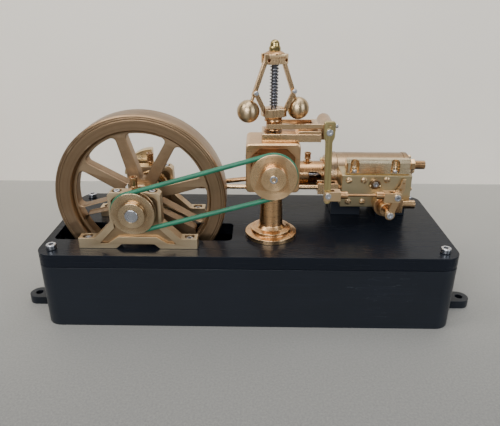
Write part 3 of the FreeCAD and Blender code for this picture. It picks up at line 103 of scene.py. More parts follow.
# ---- Materials ----
class Nodes:
    """A material's node tree, with short ways to add and join nodes."""

    def __init__(self, name):
        self.material = bpy.data.materials.new(name)
        self.material.use_nodes = True
        self.tree = self.material.node_tree
        self.shader = self.tree.nodes["Principled BSDF"]
        self.coordinates = self.add("TexCoord")
        self.geometry = self.add("NewGeometry")

    def add(self, kind, operation=None):
        node = self.tree.nodes.new("ShaderNode" + kind)
        if operation:
            node.operation = operation
        return node

    def link(self, source, target):
        self.tree.links.new(source, target)

    def feed(self, sockets, values):
        """Give each socket its value: a number, a colour, a vector or another node's output."""
        for socket, value in zip(sockets, values):
            if isinstance(value, (int, float, tuple)):
                socket.default_value = value
            elif value is not None:
                self.link(value, socket)

    def shade(self, **values):
        """Feed the shader's own sockets, named with underscores for spaces."""
        self.feed([self.shader.inputs[key.replace("_", " ")] for key in values], values.values())

    def math(self, operation, first, second=None):
        node = self.add("Math", operation)
        self.feed(node.inputs, (first, second))
        return node.outputs[0]

    def vector_math(self, operation, first, second=None):
        node = self.add("VectorMath", operation)
        self.feed(node.inputs, (first, second))
        return node.outputs["Value" if operation in ("LENGTH", "DOT_PRODUCT") else "Vector"]

    def millimetres(self, origin=(0.0, 0.0, 0.0)):
        """The point on the piece in millimetres from an origin."""
        scaled = self.vector_math("MULTIPLY", self.coordinates.outputs["Object"], (1000.0,) * 3)
        return self.vector_math("SUBTRACT", scaled, origin)

    def noise(self, vector, scale, detail=2.0, roughness=0.5):
        node = self.add("TexNoise")
        self.feed([node.inputs[key] for key in ("Vector", "Scale", "Detail", "Roughness")],
                  (vector, scale, detail, roughness))
        return node.outputs["Fac"]

    def ramp(self, factor, low, high, low_value=0.0, high_value=1.0):
        """The factor stretched so that low becomes low_value and high becomes high_value."""
        node = self.add("MapRange")
        self.feed([node.inputs[key] for key in ("Value", "From Min", "From Max", "To Min", "To Max")],
                  (factor, low, high, low_value, high_value))
        return node.outputs["Result"]

    def mix(self, factor, first, second):
        """A colour between two colours, each a socket or four numbers."""
        node = self.add("Mix")
        node.data_type = "RGBA"
        self.feed((node.inputs[0], node.inputs[6], node.inputs[7]), (factor, first, second))
        return node.outputs[2]

    def bump(self, height, strength, distance):
        node = self.add("Bump")
        self.feed([node.inputs[key] for key in ("Height", "Strength", "Distance")],
                  (height, strength, distance * MM))
        return node.outputs["Normal"]


def turned_vector(nodes, axis, origin, pitch):
    """A vector that is constant round the axis, so that noise makes the rings a lathe leaves."""
    point = nodes.millimetres(origin)
    along = nodes.vector_math("DOT_PRODUCT", point, axis)
    back = nodes.add("VectorMath", "SCALE")
    nodes.feed((back.inputs[0], back.inputs["Scale"]), (axis, along))
    radius = nodes.vector_math("LENGTH", nodes.vector_math("SUBTRACT", point, back.outputs["Vector"]))
    join = nodes.add("CombineXYZ")
    nodes.feed(join.inputs, [nodes.math("MULTIPLY", reach, pitch) for reach in (radius, along)])
    return join.outputs["Vector"]


def stretched_vector(nodes, grain):
    """A vector stretched so that noise makes the streaks a file or a mill leaves."""
    return nodes.vector_math("MULTIPLY", nodes.millimetres(), grain)


def metal(name, tone, rough, axis=None, origin=None, grain=None, pitch=2.2, marks=0.35, streak=0.12,
          wear_and_crease_shade=0.5, anisotropy=0.0):
    """Machined metal: turning rings round an axis or straight streaks, blotches, worn bright edges, and
    painted shade darkening its creases.
    """
    nodes = Nodes(name)
    colour, dark, bright = tone
    marks_at = turned_vector(nodes, axis, origin, pitch) if axis else stretched_vector(nodes, grain)
    fine = nodes.noise(marks_at, 1.0, 3.0, 0.6)
    coarse = nodes.noise(marks_at, 0.22, 2.0)
    blotches = nodes.noise(nodes.millimetres(), 0.055, 3.0, 0.55)
    speckle = nodes.noise(nodes.millimetres(), 1.6, 2.0)
    tarnish = nodes.ramp(blotches, 0.36, 0.68)
    base = nodes.mix(nodes.math("MULTIPLY", tarnish, 0.4), colour, dark)
    base = nodes.mix(nodes.ramp(coarse, 0.3, 0.72, 0.0, streak * 2.2), base, dark)
    base = nodes.mix(nodes.ramp(fine, 0.35, 0.7, 0.0, streak), base, bright)
    edge = nodes.ramp(nodes.geometry.outputs["Pointiness"], 0.515, 0.57, 0.0, wear_and_crease_shade)
    # painted shade: concave creases are darkened towards the dark tone, standing in for the shade that falls
    # in them; the same strength also sets the edge wear
    painted_crease_shade = nodes.ramp(nodes.geometry.outputs["Pointiness"], 0.485, 0.44, 0.0, 0.6 * wear_and_crease_shade)
    base = nodes.mix(edge, base, bright)
    base = nodes.mix(painted_crease_shade, base, dark)
    roughness = nodes.math("ADD", nodes.ramp(fine, 0.3, 0.7, rough * 0.85, rough * 1.2),
                           nodes.ramp(speckle, 0.3, 0.7, -0.03, 0.03))
    roughness = nodes.math("ADD", roughness, nodes.ramp(blotches, 0.3, 0.7, -0.03, 0.05))
    height = nodes.math("ADD", fine, nodes.math("MULTIPLY", speckle, 0.12))
    nodes.shade(Base_Color=base, Metallic=1.0, Roughness=roughness,
                Normal=nodes.bump(height, 0.5 * marks, 0.02))
    if anisotropy:
        around = nodes.vector_math("CROSS_PRODUCT", axis, nodes.millimetres(origin))
        turn = nodes.add("VectorTransform")
        turn.vector_type, turn.convert_from, turn.convert_to = "VECTOR", "OBJECT", "WORLD"
        nodes.link(nodes.vector_math("NORMALIZE", around), turn.inputs["Vector"])
        nodes.shade(Anisotropic=anisotropy, Anisotropic_Rotation=0.25, Tangent=turn.outputs["Vector"])
    return nodes.material


def rgb(red, green, blue):
    """A colour given as it looks on a screen, 0 to 255, as the shader's linear numbers."""
    def linear(value):
        value /= 255.0
        return value / 12.92 if value <= 0.04045 else ((value + 0.055) / 1.055) ** 2.4
    return (linear(red), linear(green), linear(blue), 1.0)


SATIN = (rgb(180, 154, 120), rgb(130, 106, 78), rgb(220, 200, 166))
WHEEL = (rgb(154, 128, 100), rgb(106, 84, 62), rgb(192, 168, 138))
BRONZE = (rgb(182, 142, 102), rgb(120, 84, 54), rgb(234, 204, 160))
PALE = (rgb(182, 156, 114), rgb(128, 102, 68), rgb(234, 216, 176))
BALL = (rgb(190, 168, 134), rgb(128, 106, 78), rgb(234, 218, 188))
GEARBOX = (rgb(196, 152, 110), rgb(134, 96, 62), rgb(244, 212, 166))
COLUMN = (rgb(216, 174, 128), rgb(158, 116, 74), rgb(246, 220, 176))
MANIFOLD = (rgb(222, 196, 156), rgb(168, 142, 104), rgb(248, 234, 202))
BRACKET = (rgb(164, 124, 88), rgb(110, 78, 50), rgb(224, 192, 150))
CHEST = (rgb(138, 122, 90), rgb(98, 82, 58), rgb(204, 188, 150))
GLAND = (rgb(120, 96, 70), rgb(70, 52, 36), rgb(190, 160, 120))
OLIVE = (rgb(158, 138, 88), rgb(112, 94, 56), rgb(208, 192, 140))
STEEL = (rgb(176, 178, 184), rgb(108, 110, 116), rgb(226, 228, 234))
DARK_STEEL = (rgb(84, 84, 90), rgb(40, 40, 44), rgb(146, 146, 152))
ANODISED = (rgb(9, 12, 18), rgb(6, 8, 12), rgb(24, 29, 40))


def anodised(name, grain, rough=0.36, streak=0.35, scratches=True, shine=0.33, bump=0.25):
    """Black anodised aluminium: faint milled streaks, dust, a few pale scratches, and lighter edges that are
    partly wear and partly a painted highlight.
    """
    nodes = Nodes(name)
    colour, dark, bright = ANODISED
    streaks = nodes.noise(stretched_vector(nodes, grain), 1.0, 4.0, 0.65)
    broad = nodes.noise(stretched_vector(nodes, tuple(g * 0.2 for g in grain)), 1.0, 2.0)
    cloud = nodes.noise(nodes.millimetres(), 0.03, 3.0)
    dust = nodes.noise(nodes.millimetres(), 1.9, 2.0, 0.6)
    base = nodes.mix(nodes.ramp(cloud, 0.3, 0.7), colour, dark)
    base = nodes.mix(nodes.ramp(streaks, 0.5, 0.8, 0.0, streak), base, bright)
    base = nodes.mix(nodes.ramp(dust, 0.72, 0.8, 0.0, 0.35), base, rgb(96, 98, 102))
    # lighter convex edges: partly edge wear, partly a painted highlight along them
    edge = nodes.ramp(nodes.geometry.outputs["Pointiness"], 0.52, 0.6, 0.0, 0.55)
    base = nodes.mix(edge, base, rgb(52, 56, 66))
    if scratches:
        lines = nodes.noise(stretched_vector(nodes, (0.035, 0.035, 0.5)), 1.0, 1.0)
        band = nodes.math("ABSOLUTE", nodes.math("SUBTRACT", lines, 0.5))
        where = nodes.ramp(nodes.noise(nodes.millimetres((17.0, 0.0, 5.0)), 0.022, 1.0), 0.6, 0.68)
        thin = nodes.math("MULTIPLY", nodes.ramp(band, 0.004, 0.001), where)
        base = nodes.mix(nodes.math("MULTIPLY", thin, 0.2), base, rgb(110, 114, 122))
    roughness = nodes.math("ADD", nodes.ramp(streaks, 0.3, 0.7, rough - 0.06, rough + 0.08),
                           nodes.ramp(broad, 0.3, 0.7, -0.04, 0.05))
    height = nodes.math("ADD", streaks, nodes.math("MULTIPLY", dust, 0.3))
    nodes.shade(Base_Color=base, Metallic=0.0, Specular_IOR_Level=shine, Roughness=roughness,
                Specular_Tint=(0.84, 0.92, 1.0, 1.0), Normal=nodes.bump(height, bump, 0.02))
    return nodes.material


def belt_green(name):
    """Round green polyurethane belt: slightly translucent, waxy and mottled."""
    nodes = Nodes(name)
    patches = nodes.noise(nodes.millimetres(), 0.12, 3.0)
    grain = nodes.noise(nodes.millimetres(), 3.0, 3.0, 0.6)
    base = nodes.mix(nodes.ramp(patches, 0.3, 0.7), rgb(8, 84, 60), rgb(20, 104, 76))
    base = nodes.mix(nodes.ramp(grain, 0.5, 0.75, 0.0, 0.25), base, rgb(40, 128, 96))
    nodes.shade(Base_Color=base, Roughness=nodes.ramp(grain, 0.3, 0.7, 0.42, 0.58), Subsurface_Weight=0.08,
                Subsurface_Scale=0.001, Normal=nodes.bump(grain, 0.2, 0.03))
    return nodes.material


ROUND_CRANK = {"axis": Y_AXIS, "origin": CRANK}
ALONG_CYLINDER = {"axis": X_AXIS, "origin": CYLINDER_AXIS}
ROUND_GOVERNOR = {"axis": Z_AXIS, "origin": GOVERNOR}

M_BASE = anodised("base_side_anodised", (0.02, 0.02, 0.9), rough=0.34, streak=0.3)
M_PLATE = anodised("plate_anodised", (0.03, 0.6, 0.6), rough=0.22, streak=0.04, scratches=False, shine=0.12,
                   bump=0.12)
M_PEDESTAL = anodised("pedestal_anodised", (0.05, 1.0, 1.0), rough=0.4, scratches=False)
M_FLYWHEEL = metal("flywheel_brass", WHEEL, 0.36, **ROUND_CRANK, pitch=1.5, marks=0.2, streak=0.2, wear_and_crease_shade=0.6)
M_SPOKES = metal("spoke_brass", WHEEL, 0.42, grain=(1.4, 0.08, 1.4), marks=0.4)
M_BEARING = metal("bearing_brass", SATIN, 0.38, grain=(0.07, 1.8, 1.8), marks=0.4, wear_and_crease_shade=0.9)
M_CRANK_TURNED = metal("crank_turned_brass", SATIN, 0.28, **ROUND_CRANK, pitch=1.4, marks=0.3,
                                  anisotropy=0.6)
M_SHAFT = metal("shaft_steel", STEEL, 0.24, **ROUND_CRANK, pitch=3.0, marks=0.5, anisotropy=0.6)
M_WEB = metal("web_brass", PALE, 0.3, grain=(1.6, 0.1, 1.6), marks=0.4, wear_and_crease_shade=0.7)
M_ROD = metal("rod_bronze", BRONZE, 0.25, **ALONG_CYLINDER, pitch=2.0)
M_VALVE_ROD = metal("valve_rod_bronze", BRONZE, 0.25, axis=X_AXIS, origin=(0, 0, 68), pitch=2.0)
M_STEEL_ROD = metal("rod_steel", STEEL, 0.2, **ALONG_CYLINDER, pitch=2.0, marks=0.3)
M_GUIDE = metal("guide_bronze", BRONZE, 0.26, **ALONG_CYLINDER, pitch=1.8, marks=0.4)
M_CYLINDER = metal("cylinder_brass", WHEEL, 0.27, **ALONG_CYLINDER, pitch=1.8)
M_CHEST = metal("chest_brass", CHEST, 0.34, grain=(0.07, 1.9, 1.9), marks=0.4, wear_and_crease_shade=0.8)
M_MANIFOLD = metal("manifold_brass", MANIFOLD, 0.25, grain=(0.05, 1.8, 1.8), marks=0.45, wear_and_crease_shade=0.8)
M_THROTTLE = metal("throttle_bronze", BRONZE, 0.27, axis=Y_AXIS, origin=(THROTTLE[0], 0, THROTTLE[2]),
                   pitch=2.0, marks=0.5)
M_COLUMN = metal("column_bronze", COLUMN, 0.26, **ROUND_GOVERNOR, pitch=2.4, marks=0.4,
                 wear_and_crease_shade=0.6, anisotropy=0.45)
M_GEARBOX = metal("gearbox_bronze", GEARBOX, 0.3, grain=(0.08, 1.6, 1.6), marks=0.28, streak=0.1, wear_and_crease_shade=0.8)
M_PULLEY = metal("pulley_bronze", COLUMN, 0.3, axis=Y_AXIS, origin=(PULLEY[0], 0, PULLEY[2]),
                 pitch=1.4, marks=0.3, anisotropy=0.75)
M_BRACKET = metal("bracket_bronze", BRACKET, 0.27, grain=(0.07, 1.8, 1.8), wear_and_crease_shade=0.8)
M_GOVERNOR = metal("governor_bronze", BRONZE, 0.25, **ROUND_GOVERNOR, marks=0.4)
M_ARM = metal("arm_brass", BRONZE, 0.26, grain=(1.6, 1.6, 0.08))
M_LEVER = metal("lever_brass", OLIVE, 0.33, grain=(1.6, 0.1, 0.07), marks=0.4, wear_and_crease_shade=0.8)
M_SCREW = metal("screw_steel", STEEL, 0.28, grain=(2.4, 2.4, 2.4), marks=0.3, wear_and_crease_shade=0.6)
M_SPRING = metal("spring_steel", DARK_STEEL, 0.34, grain=(2.4, 2.4, 2.4), marks=0.3, wear_and_crease_shade=0.4)
M_BRASS_SCREW = metal("screw_brass", BRONZE, 0.26, grain=(2.4, 2.4, 2.4), marks=0.3, wear_and_crease_shade=0.8)
M_CUP = metal("oil_cup_bronze", BRONZE, 0.24, grain=(1.2, 1.2, 2.6), wear_and_crease_shade=0.8)
M_PIPE = metal("pipe_bronze", BRONZE, 0.2, axis=X_AXIS, origin=(0, -0.9, 82.7))
M_CAP = metal("cap_bronze", BRONZE, 0.27, grain=(1.2, 1.2, 0.1), wear_and_crease_shade=0.8)
M_ACORN = metal("acorn_brass", OLIVE, 0.2, **ROUND_GOVERNOR, pitch=2.0, marks=0.25)
M_CLEVIS = metal("clevis_bronze", BRONZE, 0.33, grain=(0.1, 1.6, 1.6), wear_and_crease_shade=0.7)
M_FERRULE = metal("ferrule_brass", PALE, 0.18, axis=X_AXIS, origin=PUSH_ROD, marks=0.25)
M_DARK_BRONZE = metal("gland_bronze", GLAND, 0.3, grain=(0.06, 2.2, 2.2), marks=0.5, wear_and_crease_shade=0.7)
M_CHEST_SCREW = metal("chest_screw_brass", SATIN, 0.34, grain=(1.6, 1.6, 1.6), marks=0.3, wear_and_crease_shade=0.6)
M_SPINDLE = metal("spindle_steel", DARK_STEEL, 0.3, **ROUND_GOVERNOR, pitch=2.4, marks=0.3)
M_BELT = belt_green("belt_polyurethane")


# ---- Ways of making meshes ----
def placed(name, data):
    """A new object in the scene."""
    thing = bpy.data.objects.new(name, data)
    SCENE.collection.objects.link(thing)
    return thing


def shade_smooth(mesh, sharp):
    """Smooth shading, broken at edges that turn by more than an angle in degrees."""
    mesh.polygons.foreach_set("use_smooth", [True] * len(mesh.polygons))
    mesh.set_sharp_from_angle(angle=radians(sharp))


def settle(name, mesh, material, body, stands_for=(), sharp=32.0):
    """Put a mesh in the scene as a piece that rides on a body."""
    mesh.name = name
    mesh.transform(Matrix.Scale(MM, 4))
    mesh.materials.clear()
    mesh.materials.append(material)
    if not mesh.has_custom_normals:
        shade_smooth(mesh, sharp)
    piece = placed(name, mesh)
    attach(piece, body)
    if stands_for:
        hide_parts(*stands_for)
    return piece


def stand_in(node, part, mesh, material, sharp=32.0):
    """A piece that shows a CAD node, or a part of one, and rides on the node's body."""
    return settle(node + part, mesh, material, NODES[node]["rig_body"], (node,), sharp)


def evaluated_mesh(subject):
    bpy.context.view_layer.update()
    evaluated = subject.evaluated_get(bpy.context.evaluated_depsgraph_get())
    return bpy.data.meshes.new_from_object(evaluated)


def with_modifiers(mesh, cutters=(), bevel=0.0, segments=2, angle=35.0, clamp=True, weighted=True):
    """A mesh with solids cut from it and its edges rounded, all applied."""
    subject = placed("subject", mesh)
    helpers = [placed("cutter", cutter) for cutter in cutters]
    for helper in helpers:
        cut = subject.modifiers.new("cut", "BOOLEAN")
        cut.operation = "DIFFERENCE"
        cut.solver = "EXACT"
        cut.object = helper
    if bevel:
        round_off = subject.modifiers.new("bevel", "BEVEL")
        round_off.width = bevel
        round_off.segments = segments
        round_off.limit_method = "ANGLE"
        round_off.angle_limit = radians(angle)
        round_off.use_clamp_overlap = clamp
        round_off.miter_outer = "MITER_ARC"
    result = evaluated_mesh(subject)
    if weighted:
        shade_smooth(result, 35.0)
        helpers.append(placed("shaded", result))
        helpers[-1].modifiers.new("normals", "WEIGHTED_NORMAL").keep_sharp = True
        result = evaluated_mesh(helpers[-1])
    for thing in (subject, *helpers):
        bpy.data.objects.remove(thing)
    return result


def mesh_of(shape, outwards=True):
    """The finished mesh of a bmesh, with its faces turned outwards unless they are right already."""
    if outwards:
        bmesh.ops.recalc_face_normals(shape, faces=shape.faces)
    mesh = bpy.data.meshes.new("mesh")
    shape.to_mesh(mesh)
    shape.free()
    return mesh


def cleaned(node):
    """A copy of a CAD node's mesh with its flat faces made whole again."""
    shape = bmesh.new()
    shape.from_mesh(NODES[node].data)
    shape.transform(Matrix.Scale(1.0 / MM, 4))
    bmesh.ops.remove_doubles(shape, verts=shape.verts, dist=1e-3)
    bmesh.ops.dissolve_limit(shape, angle_limit=radians(0.3), verts=shape.verts, edges=shape.edges)
    mesh = mesh_of(shape, outwards=False)
    shade_smooth(mesh, 32.0)
    return mesh


def refine(node, material, slot, bevel=0.3, **rounding):
    """The CAD node's own shape with rounded edges, in its place."""
    mesh = with_modifiers(cleaned(node), (), bevel, **rounding)
    stand_in(node, "_piece", mesh, material)


def axes_of(axis):
    """Two directions square to an axis, and the axis itself, as a matrix."""
    along = Vector(axis).normalized()
    side = Vector((0.0, 0.0, 1.0)) if abs(along.z) < 0.9 else Vector((1.0, 0.0, 0.0))
    first = side.cross(along).normalized()
    second = along.cross(first)
    return Matrix((first, second, along)).transposed()


def rounded_profile(points, radius, closed, steps=3):
    """A profile with its corners rounded to a radius, where its runs leave room."""
    result = []
    count = len(points)
    for i, (r, h) in enumerate(points):
        here = Vector((r, h))
        if not closed and i in (0, count - 1):
            result.append((r, h))
            continue
        before = Vector(points[i - 1]) - here
        after = Vector(points[(i + 1) % count]) - here
        reach = min(radius, 0.42 * before.length, 0.42 * after.length)
        if reach < 0.01 or before.angle(after, 0.0) > radians(165.0):
            result.append((r, h))
            continue
        start = here + before.normalized() * reach
        end = here + after.normalized() * reach
        for step in range(steps + 1):
            t = step / steps
            point = start * (1 - t) ** 2 + here * 2 * t * (1 - t) + end * t ** 2
            result.append((point.x, point.y))
    return result


def lathe(profile, origin, axis, segments=72, soften=0.0, closed=True):
    """A solid of revolution from (radius, height) points round an axis. An open profile ends on the axis."""
    if soften:
        profile = rounded_profile(profile, soften, closed)
    basis = axes_of(axis)
    shape = bmesh.new()
    rings = []
    for radius, height in profile:
        around = circle(radius, segments) if radius >= 1e-4 else [(0.0, 0.0)]
        rings.append([shape.verts.new(Vector(origin) + basis @ Vector((u, v, height))) for u, v in around])
    pairs = list(zip(rings, rings[1:]))
    if closed:
        pairs.append((rings[-1], rings[0]))
    for low, high in pairs:
        for step in range(segments):
            following = (step + 1) % segments
            corners = []
            for corner in (low[step % len(low)], low[following % len(low)], high[following % len(high)],
                           high[step % len(high)]):
                if corner not in corners:
                    corners.append(corner)
            if len(corners) > 2:
                shape.faces.new(corners)
    return mesh_of(shape)


def pin(radius, low, high, origin, axis, segments, soften=0.0):
    """A plain round bar."""
    profile = [(0.0, low), (radius, low), (radius, high), (0.0, high)]
    return lathe(profile, origin, axis, segments, soften, closed=False)


def prism(outline, low, high, origin=(0.0, 0.0, 0.0), axis=Z_AXIS, across=None):
    """A straight solid on an outline given in two directions square to the axis."""
    basis = axes_of(axis) if across is None else across
    shape = bmesh.new()
    rings = []
    for height in (low, high):
        rings.append([shape.verts.new(Vector(origin) + basis @ Vector((u, v, height))) for u, v in outline])
    shape.faces.new(rings[0])
    shape.faces.new(rings[1][::-1])
    count = len(outline)
    for i in range(count):
        j = (i + 1) % count
        shape.faces.new((rings[0][i], rings[1][i], rings[1][j], rings[0][j]))
    return mesh_of(shape)


def circle(radius, count, start=0.0):
    """Points spaced evenly round a circle."""
    turns = [start + 2 * pi * i / count for i in range(count)]
    return [(radius * cos(turn), radius * sin(turn)) for turn in turns]


def hexagon(across, start=0.0):
    """The corners of a hexagon, from its size across the flats."""
    return circle(across / sqrt(3.0), 6, start)


def rectangle(low, high):
    return [(low[0], low[1]), (high[0], low[1]), (high[0], high[1]), (low[0], high[1])]


def cut_corners(half_u, half_v, cut):
    """A rectangle about the origin with its corners cut off."""
    u, v = half_u - cut, half_v - cut
    return [(u, -half_v), (half_u, -v), (half_u, v), (u, half_v), (-u, half_v), (-half_u, v), (-half_u, -v),
            (-u, -half_v)]


def mirrored(right):
    """An outline from its right half, given from the bottom up."""
    return right + [(-u, v) for u, v in reversed(right)]


def joined(meshes):
    """Several meshes as one."""
    shape = bmesh.new()
    for mesh in meshes:
        shape.from_mesh(mesh)
    return mesh_of(shape, outwards=False)


# ---- Fasteners ----
def socket_screw(name, place, axis, body, radius=2.75, height=3.0, key=2.5, material=M_SCREW):
    """A socket cap screw: a head with a rounded rim and a hexagonal socket."""
    head = pin(radius, 0.0, height, place, axis, 48, soften=0.18 * height)
    socket = prism(hexagon(key), height * 0.35, height + 1.0, place, axis)
    settle(name, with_modifiers(head, (socket,), 0.08, segments=1, angle=50.0), material, body)


def dome_screw(name, place, axis, body, radius, height, material, slot_turn=0.0):
    """A round-head screw with a slot."""
    profile = [(0.0, -0.2), (radius, -0.2), (radius, 0.12)]
    for step in range(1, 8):
        t = step / 8 * pi / 2
        profile.append((radius * cos(t), 0.12 + (height - 0.12) * sin(t)))
    profile.append((0.0, height))
    head = lathe(profile, place, axis, 32, closed=False)
    c, s = cos(slot_turn), sin(slot_turn)
    corners = rectangle((-1.2 * radius, -0.17 * radius), (1.2 * radius, 0.17 * radius))
    slot_outline = [(u * c - v * s, u * s + v * c) for u, v in corners]
    groove = prism(slot_outline, height * 0.45, height + 1.0, place, axis)
    settle(name, with_modifiers(head, (groove,), 0.05, segments=1, angle=50.0), material, body)


def hex_nut(name, place, axis, body, turn):
    """A hexagon nut with the rounded end of its stud standing out."""
    nut = with_modifiers(prism(hexagon(2.6, turn), -0.1, 1.2, place, axis), (), 0.12, angle=30.0)
    stud = pin(0.7, 1.0, 1.7, place, axis, 24, soften=0.2)
    settle(name, joined([nut, stud]), M_BRASS_SCREW, body)


# ---- Base ----
def build_base():
    """The box, and the lid raised a little off it so that the seam shows, with the lip under the lid."""
    refine("base_box", M_BASE, "black_anodised", 0.65)
    slab = cleaned("top_plate")
    for vertex in slab.vertices:
        if vertex.co.z < PLATE_LOW + 0.1:
            vertex.co.z += SHADOW_GAP
    stand_in("top_plate", "_piece", with_modifiers(slab, (), 0.4), M_PLATE)
    walls = []
    for half_y, half_x, radius, low, high in ((44.2, 114.2, 8.2, 0.0, 1.0), (41.4, 111.4, 5.4, -1.0, 2.0)):
        outline = rounded_profile(rectangle((-half_y, -half_x), (half_y, half_x)), radius, True, 12)
        walls.append(prism(outline, PLATE_LOW + low, PLATE_LOW + high))
    settle("lid_lip", with_modifiers(walls[0], walls[1:]), M_PLATE, "root", ())
    for i, (x, y) in enumerate(((-107.4, -37.5), (-107.4, 37.5), (107.4, -37.5), (107.4, 37.5)), 1):
        socket_screw("lid_screw_%d" % i, (x, y, PLATE_TOP), Z_AXIS, "root")


# ---- Crankshaft line ----
BEARING_HALF = [(9.0, 2.6), (12.0, 0.0), (32.5, 0.0), (32.5, 6.2), (23.5, 6.2), (14.0, 15.5), (14.0, 31.4),
                (12.4, 33.0)]
RELIEF_HALF = [(10.4, 7.1), (16.4, 3.2), (20.6, 3.2), (12.1, 12.2), (12.1, 28.4), (10.3, 30.2)]


def build_bearing(node):
    """A bearing pedestal with a raised rim, counterbored feet, its screws and its bore."""
    y = BEARINGS[node]
    centre = (CRANK[0], y, PLATE_TOP)
    body = prism(mirrored(BEARING_HALF), -3.3, 3.3, centre, across=FRONT_WAYS)
    relief = prism(mirrored(RELIEF_HALF), -4.3, -1.7, centre, across=FRONT_WAYS)
    cutters = [pin(SHAFT_BORE, -9.0, 9.0, (CRANK[0], y, CRANK[2]), Y_AXIS, 48)]
    feet, tops = (-88.0, -32.0), (-69.3, -50.5)
    cutters += [pin(2.65, FOOT_SEAT, 56.0, (x, y, 0.0), Z_AXIS, 40) for x in feet]
    cutters += [pin(2.5, CAP_SEAT, 84.0, (x, y, 0.0), Z_AXIS, 36) for x in tops]
    mesh = with_modifiers(body, [relief], weighted=False)
    mesh = with_modifiers(mesh, cutters, 0.28, clamp=False)
    stand_in(node, "_piece", mesh, M_BEARING)
    for where, places, seat, size in (("foot", feet, FOOT_SEAT, (1.95, 2.0, 2.0)),
                                      ("top", tops, CAP_SEAT, (1.75, 1.6, 1.7))):
        for i, x in enumerate(places, 1):
            socket_screw("%s_%s_screw_%d" % (node, where, i), (x, y, seat), Z_AXIS, "root", *size)


def oil_cup(node, x, y, low, rise):
    """A turned oil cup: a stem and an open reservoir with a bead at its foot and its rim."""
    top = low + rise
    stem = low + 0.24 * rise
    profile = [(0.0, low), (1.3, low), (1.3, stem), (2.1, stem + 0.1), (2.1, stem + 0.8), (1.9, stem + 1.0),
               (1.9, top - 1.0), (2.15, top - 0.8), (2.15, top), (1.4, top), (1.35, top - 0.4 * rise),
               (0.0, top - 0.4 * rise)]
    mesh = lathe(profile, (x, y, 0.0), Z_AXIS, 48, soften=0.16, closed=False)
    stand_in(node, "_piece", mesh, M_CUP)


# Where the flywheel's openings end: the circle, half a spoke's width there, the fillet, and whether outer
OPENING_RIM = (36.7, 2.95, 2.5, True)
OPENING_HUB = (10.6, 3.35, 1.6, False)


def flywheel_opening(middle):
    """The outline of one opening between two spokes, with rounded corners, in polar order."""
    half = pi / 8.0
    points = []
    steps = 6
    for end, side in ((OPENING_RIM, -1), (OPENING_RIM, 1), (OPENING_HUB, 1), (OPENING_HUB, -1)):
        radius, spoke_half, fillet, outside = end
        # the fillet's centre lies as far from the spoke's side as from the circle
        reach = radius - fillet if outside else radius + fillet
        turn = side * (half - asin((spoke_half + fillet) / reach))
        centre = Vector((reach * cos(turn), reach * sin(turn)))
        circle_way = turn if outside else turn + pi
        spoke_way = side * half + side * pi / 2.0
        difference = (spoke_way - circle_way + pi) % (2 * pi) - pi
        first, last = circle_way, circle_way + difference
        before_arc = outside != (side > 0)
        if before_arc:
            first, last = last, first
        for step in range(steps + 1):
            way = first + (last - first) * step / steps
            points.append(centre + fillet * Vector((cos(way), sin(way))))
        if before_arc:
            count = 12 if outside else 4
            points += [Vector((radius * cos(a), radius * sin(a)))
                       for a in [turn - 2 * turn * k / count for k in range(1, count)]]
    turned = Matrix.Rotation(middle, 2)
    return [turned @ point for point in points]


def offset_loop(loop, distance):
    """A smooth closed loop moved outwards, to the right of its way round."""
    count = len(loop)
    result = []
    for i, point in enumerate(loop):
        along = (loop[(i + 1) % count] - loop[i - 1]).normalized()
        result.append(point + Vector((along.y, -along.x)) * distance)
    return result


def web_mesh(outer, inner, low, high, y, edge):
    """The flywheel's flat web: a ring with eight rounded openings, each with softened edges."""
    ring, bore = ([Vector(point) for point in circle(*size)] for size in ((outer, 144), (inner, 48)))
    openings = [flywheel_opening(radians(37.5 + 45.0 * i)) for i in range(8)]
    steps = []
    for turn in (0.0, 22.5, 45.0, 67.5, 90.0):
        steps.append((low + edge * (1 - sin(radians(turn))), edge * (1 - cos(radians(turn)))))
    steps = steps[::-1] + [(low + high - height, spread) for height, spread in steps]
    shape = bmesh.new()

    def corner(point, height):
        return shape.verts.new(Vector((CRANK[0] + point.x, y + height, CRANK[2] + point.y)))

    ends = []
    for loop in (ring, bore, *openings):
        soft = loop not in (ring, bore)
        levels = [[corner(point, height) for point in (offset_loop(loop, spread) if soft else loop)]
                  for height, spread in steps]
        for first, second in zip(levels, levels[1:]):
            for i in range(len(loop)):
                j = (i + 1) % len(loop)
                shape.faces.new((first[i], first[j], second[j], second[i]))
        ends.append((levels[0], levels[-1]))
    for which in (0, 1):
        flat = [vertex for pair in ends for vertex in pair[which]]
        outlines = [[Vector((vertex.co.x, vertex.co.z, 0.0)) for vertex in pair[which]] for pair in ends]
        for a, b, c in tessellate_polygon(outlines):
            shape.faces.new((flat[a], flat[b], flat[c]))
    return mesh_of(shape)


